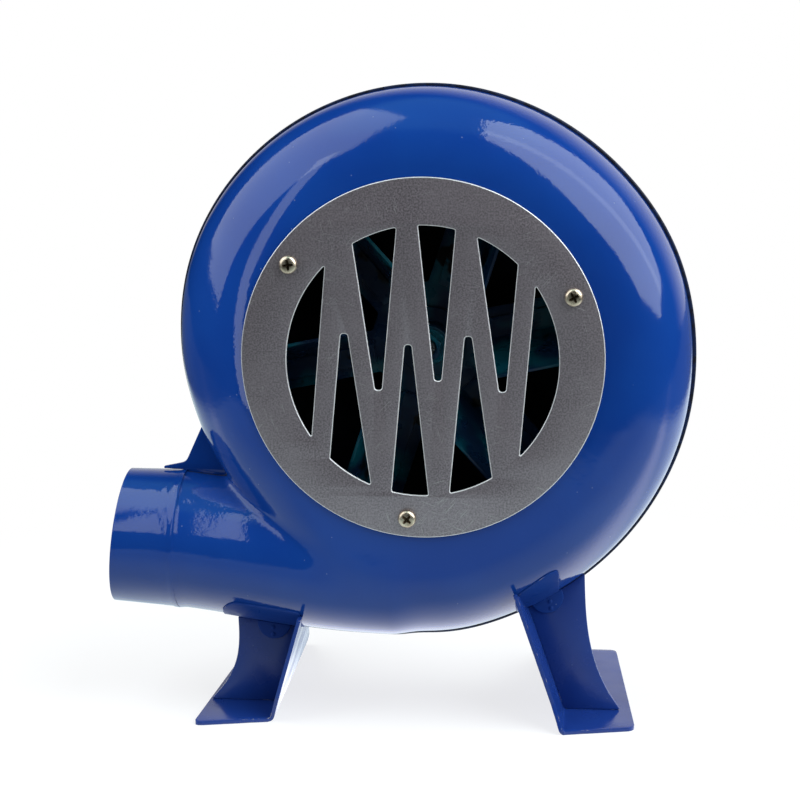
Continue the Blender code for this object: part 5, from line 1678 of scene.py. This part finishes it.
def grip_radius(share, length):
    """Radius of the barrel grip at a share of its length: round ends, and a shallow ring near each."""
    radius = GRIP_WAIST + (GRIP_RADIUS - GRIP_WAIST) * math.sin(math.pi * share**0.9) ** 0.8
    for distance in (share * length, (1.0 - share) * length):
        radius -= corner_pull(GRIP_END_ROUND, GRIP_END_ROUND - distance)
    for ring in GRIP_RINGS:
        radius -= GRIP_RING_DEPTH * math.exp(-(((share - ring) * length / GRIP_RING_WIDTH) ** 2))
    return radius


def grip_parts():
    """Barrel grip that turns on a shouldered pin, with the pin's nut."""
    centre, plated = GRIP_CENTRE, ("crank", "plated_steel")
    near, far = span("grip")
    length = far - near
    bore = GRIP_PIN_RADIUS + CLEARANCE
    mouth = bore + GRIP_COUNTERSINK
    shares = np.linspace(0.0, 1.0, 61)
    outside = [(grip_radius(share, length), near + share * length) for share in shares]
    profile = [(bore, near), (mouth, near)] + outside + [(mouth, far), (bore, far)]
    mesh = turned_mesh("handle", centre, profile, closed=True, segments=96)
    link_piece("handle", mesh, "grip", "black_plastic", "grip")
    low, high = span("grip_pin")
    head = far + 2 * HALF_GAP
    pin = [(GRIP_PIN_RADIUS - 0.6, low)]
    pin += threaded(GRIP_PIN_RADIUS, low + 0.4, low + GRIP_PIN_THREAD)
    pin += [(GRIP_PIN_RADIUS, head), (GRIP_PIN_HEAD - 0.2, head), (GRIP_PIN_HEAD, head + 0.3)]
    pin += dome(GRIP_PIN_HEAD, head, high - head, 0.25, 1.0, 0.6) + [(0.6, high)]
    round_piece("handle_pin", "grip_pin", centre, pin, None, *plated)
    hex_nut("handle_nut", "grip_nut", centre, GRIP_NUT_FLATS, bore, *plated, 0.5)


def idler_end():
    near, far = span("idler_shaft")
    radius, chamfer = IDLER_SHAFT_RADIUS, 0.4
    profile = [(radius - chamfer, near), (radius, near + chamfer)]
    profile += [(radius, far - chamfer), (radius - chamfer, far)]
    round_piece("second_shaft", "idler_shaft", IDLER_CENTRE, profile, None, "idler", "bright_steel")


def build():
    shell_piece("housing_front", "front_shell", -1, front_field, EYE_RADIUS)
    shell_piece("housing_back", "back_shell", 1, back_field, 0.0)
    seam_lip()
    corner_web()
    sleeve()
    grille()
    for k, turn in enumerate(SCREW_TURNS):
        pan_screw(f"screw_{k + 1}", f"grille_screw_{k + 1}", turn, -1)
    for leg, word in ((RIGHT_LEG, "right"), (LEFT_LEG, "left")):
        leg_bracket(f"bracket_{word}", f"leg_{word}", leg)
        web(f"gusset_{word}", f"web_{word}", leg)
        clip(f"saddle_{word}", f"clip_{word}", leg)
    impeller_disc()
    for k in range(BLADE_COUNT):
        paddle(k)
    impeller_hardware()
    gear_plate()
    gasket()
    gear_cover()
    for k in COVER_SCREWS:
        pan_screw(f"case_screw_{k}", f"cover_screw_{k}", COVER_SCREW_TURN * k, 1)
    bush("crank_bearing", "crank_bush_rear", CRANK_CENTRE, CRANK_SHAFT_RADIUS)
    bush("idler_bearing", "idler_bush_rear", IDLER_CENTRE, IDLER_SHAFT_RADIUS)
    crank()
    grip_parts()
    idler_end()


# ---------------------------------------------------------------- stage


def camera():
    data = bpy.data.cameras.new("camera")
    data.lens = CAMERA_LENS
    data.sensor_width = CAMERA_SENSOR
    thing = link_object("camera", data)
    thing.location = CAMERA_PLACE
    thing.rotation_euler = (math.pi / 2 + CAMERA_PITCH, 0.0, CAMERA_TURN)
    bpy.context.scene.camera = thing


class Stage(Graph):
    """Node graph of a lamp, the floor or the world."""

    def glow(self, strength, colour=(1.0, 1.0, 1.0)):
        made = self.node("ShaderNodeEmission")
        self.feed(made.inputs["Color"], colour)
        self.feed(made.inputs["Strength"], strength)
        return made.outputs[0]

    def blend(self, share, first, second):
        made = self.node("ShaderNodeMixShader")
        for socket, output in zip(made.inputs, (share, first, second)):
            self.link(output, socket)
        return made.outputs[0]

    def add(self, first, second):
        made = self.node("ShaderNodeAddShader")
        self.link(first, made.inputs[0])
        self.link(second, made.inputs[1])
        return made.outputs[0]


def soft_box(name, box):
    """Rectangular lamp with cut corners that shines against the cross product of its sides."""
    width, height = box["size"]
    data = bpy.data.lights.new(name, "AREA")
    data.shape = "RECTANGLE"
    data.size, data.size_y = width, height
    data.energy = box["radiance"] * math.pi * width * height
    data.use_nodes = True
    stage = Stage(data.node_tree)
    across, up, _ = stage.split(stage.node("ShaderNodeNewGeometry").outputs["Parametric"])
    across, up = (stage.math("SUBTRACT", stage.times(share, 2.0), 1.0) for share in (across, up))
    distance = stage.math("ABSOLUTE", across)
    level = stage.ramp(distance, SPINE_WIDTH, SPINE_WIDTH / 2, 1.0, box["spine"])
    for side, rise, reach in box["cuts"]:
        total = stage.math("ADD", stage.times(across, side), stage.times(up, rise))
        level = stage.times(level, stage.ramp(total, reach + CUT_SOFTNESS, reach - CUT_SOFTNESS))
    emission = data.node_tree.nodes["Emission"]
    stage.feed(emission.inputs["Color"], LAMP_TINT)
    stage.link(level, emission.inputs["Strength"])
    lamp = link_object(name, data)
    across, up = Vector(box["across"]).normalized(), Vector(box["up"]).normalized()
    outward = across.cross(up).normalized()
    up = outward.cross(across)
    turn = Matrix((across, up, outward)).transposed()
    lamp.matrix_world = Matrix.Translation(Vector(box["centre"]) + Vector(ORIGIN)) @ turn.to_4x4()
    return lamp


def outlet_card(piece):
    """Small card beside the camera that shines on one piece of the outlet only."""
    lamp = soft_box("card_" + piece, OUTLET_CARDS[piece])
    lit = bpy.data.collections.new("lit_" + piece)
    lit.objects.link(bpy.data.objects[piece])
    lamp.light_linking.receiver_collection = lit


def floor_seen(stage, radius):
    """What the camera sees: the object's shadow near it, pure white further out."""
    lit = stage.node("ShaderNodeBsdfDiffuse")
    stage.feed(lit.inputs["Color"], (FLOOR_SHADOW, FLOOR_SHADOW, FLOOR_SHADOW))
    near = stage.add(lit.outputs[0], stage.glow(1.0 - FLOOR_SHADOW * 0.9))
    return stage.blend(stage.ramp(radius, 0.18, 0.36), near, stage.glow(1.0))


def table_glow(stage, x, y):
    """The table in reflections: white close to the object, bluish further out, dark beyond its edges."""
    front = stage.math("SUBTRACT", y, stage.times(stage.math("ABSOLUTE", x), TABLE_SLANT))
    mask = stage.times(
        stage.ramp(front, TABLE_FRONT - 0.09, TABLE_FRONT + 0.05),
        stage.ramp(x, TABLE_LEFT - 0.06, TABLE_LEFT + 0.06, TABLE_DARK, 1.0),
        stage.ramp(x, TABLE_RIGHT - 0.07, TABLE_RIGHT + 0.07, 1.0, TABLE_DARK),
    )
    wide = stage.times(
        mask,
        stage.ramp(y, -0.25, 0.0, 0.42, 0.95),
        stage.ramp(x, 0.05, 0.2, 1.0, 1.3),
        stage.ramp(y, 0.02, 0.09, 1.0, 0.88),
    )
    close = stage.times(
        mask,
        stage.ramp(y, -0.065, 0.0, 0.0, 1.5),
        stage.ramp(y, 0.0, 0.07, 1.0, 0.25),
        stage.ramp(x, -0.14, -0.05, 0.3, 1.0),
    )
    return stage.add(stage.glow(wide, TABLE_TINT), stage.glow(close, CLOSE_TINT))


def studio_floor():
    """Large white floor that takes the object's shadow; gloss sees a lit table top that ends in the dark."""
    mesh = bpy.data.meshes.new("floor")
    corners = [(FLOOR_SIZE * x, FLOOR_SIZE * y, 0.0) for x, y in ((-1, -1), (1, -1), (1, 1), (-1, 1))]
    mesh.from_pydata(corners, [], [(0, 1, 2, 3)])
    floor = link_object("floor", mesh)
    floor.location = (ORIGIN[0], ORIGIN[1], 0.0)
    material = bpy.data.materials.new("floor")
    material.use_nodes = True
    tree = material.node_tree
    tree.nodes.remove(tree.nodes["Principled BSDF"])
    stage = Stage(tree)
    path = stage.node("ShaderNodeLightPath").outputs
    x, y, _ = stage.split(stage.node("ShaderNodeTexCoord").outputs["Object"])
    squares = stage.math("ADD", stage.times(x, x), stage.times(y, y))
    seen = floor_seen(stage, stage.math("POWER", squares, 0.5))
    hidden = stage.blend(path["Is Diffuse Ray"], table_glow(stage, x, y), stage.glow(FLOOR_BOUNCE))
    final = stage.blend(path["Is Camera Ray"], hidden, seen)
    stage.link(final, tree.nodes["Material Output"].inputs["Surface"])
    mesh.materials.append(material)


def studio_world():
    """White backdrop for the camera; gloss sees it behind the object, a dim ceiling and a dark room."""
    world = bpy.data.worlds.new("world")
    bpy.context.scene.world = world
    world.use_nodes = True
    tree = world.node_tree
    stage = Stage(tree)
    path = stage.node("ShaderNodeLightPath").outputs
    direction = stage.node("ShaderNodeTexCoord").outputs["Generated"]
    facing = stage.dot(direction, Vector(BACKDROP_DIRECTION).normalized())
    mirror = stage.math("MAXIMUM", path["Is Glossy Ray"], path["Is Transmission Ray"])
    behind = stage.times(mirror, stage.ramp(facing, 0.60, 0.97))
    seen = stage.math("MAXIMUM", behind, path["Is Camera Ray"])
    fill = stage.times(path["Is Diffuse Ray"], WORLD_FILL)
    background = tree.nodes["Background"]
    stage.feed(background.inputs["Color"], (1.0, 1.0, 1.0))
    stage.link(stage.math("MAXIMUM", seen, fill), background.inputs["Strength"])
    ceiling = stage.node("ShaderNodeBackground")
    stage.feed(ceiling.inputs["Color"], CEILING_TINT)
    overhead = stage.ramp(stage.split(direction)[2], 0.80, 0.92, 0.0, CEILING_LEVEL)
    stage.link(stage.times(mirror, overhead), ceiling.inputs["Strength"])
    both = stage.add(background.outputs[0], ceiling.outputs[0])
    stage.link(both, tree.nodes["World Output"].inputs["Surface"])


build()
camera()
soft_box("left_box", LEFT_BOX)
soft_box("right_box", RIGHT_BOX)
for lit_piece in OUTLET_CARDS:
    outlet_card(lit_piece)
studio_floor()
studio_world()
bpy.context.scene.view_settings.view_transform = "Standard"
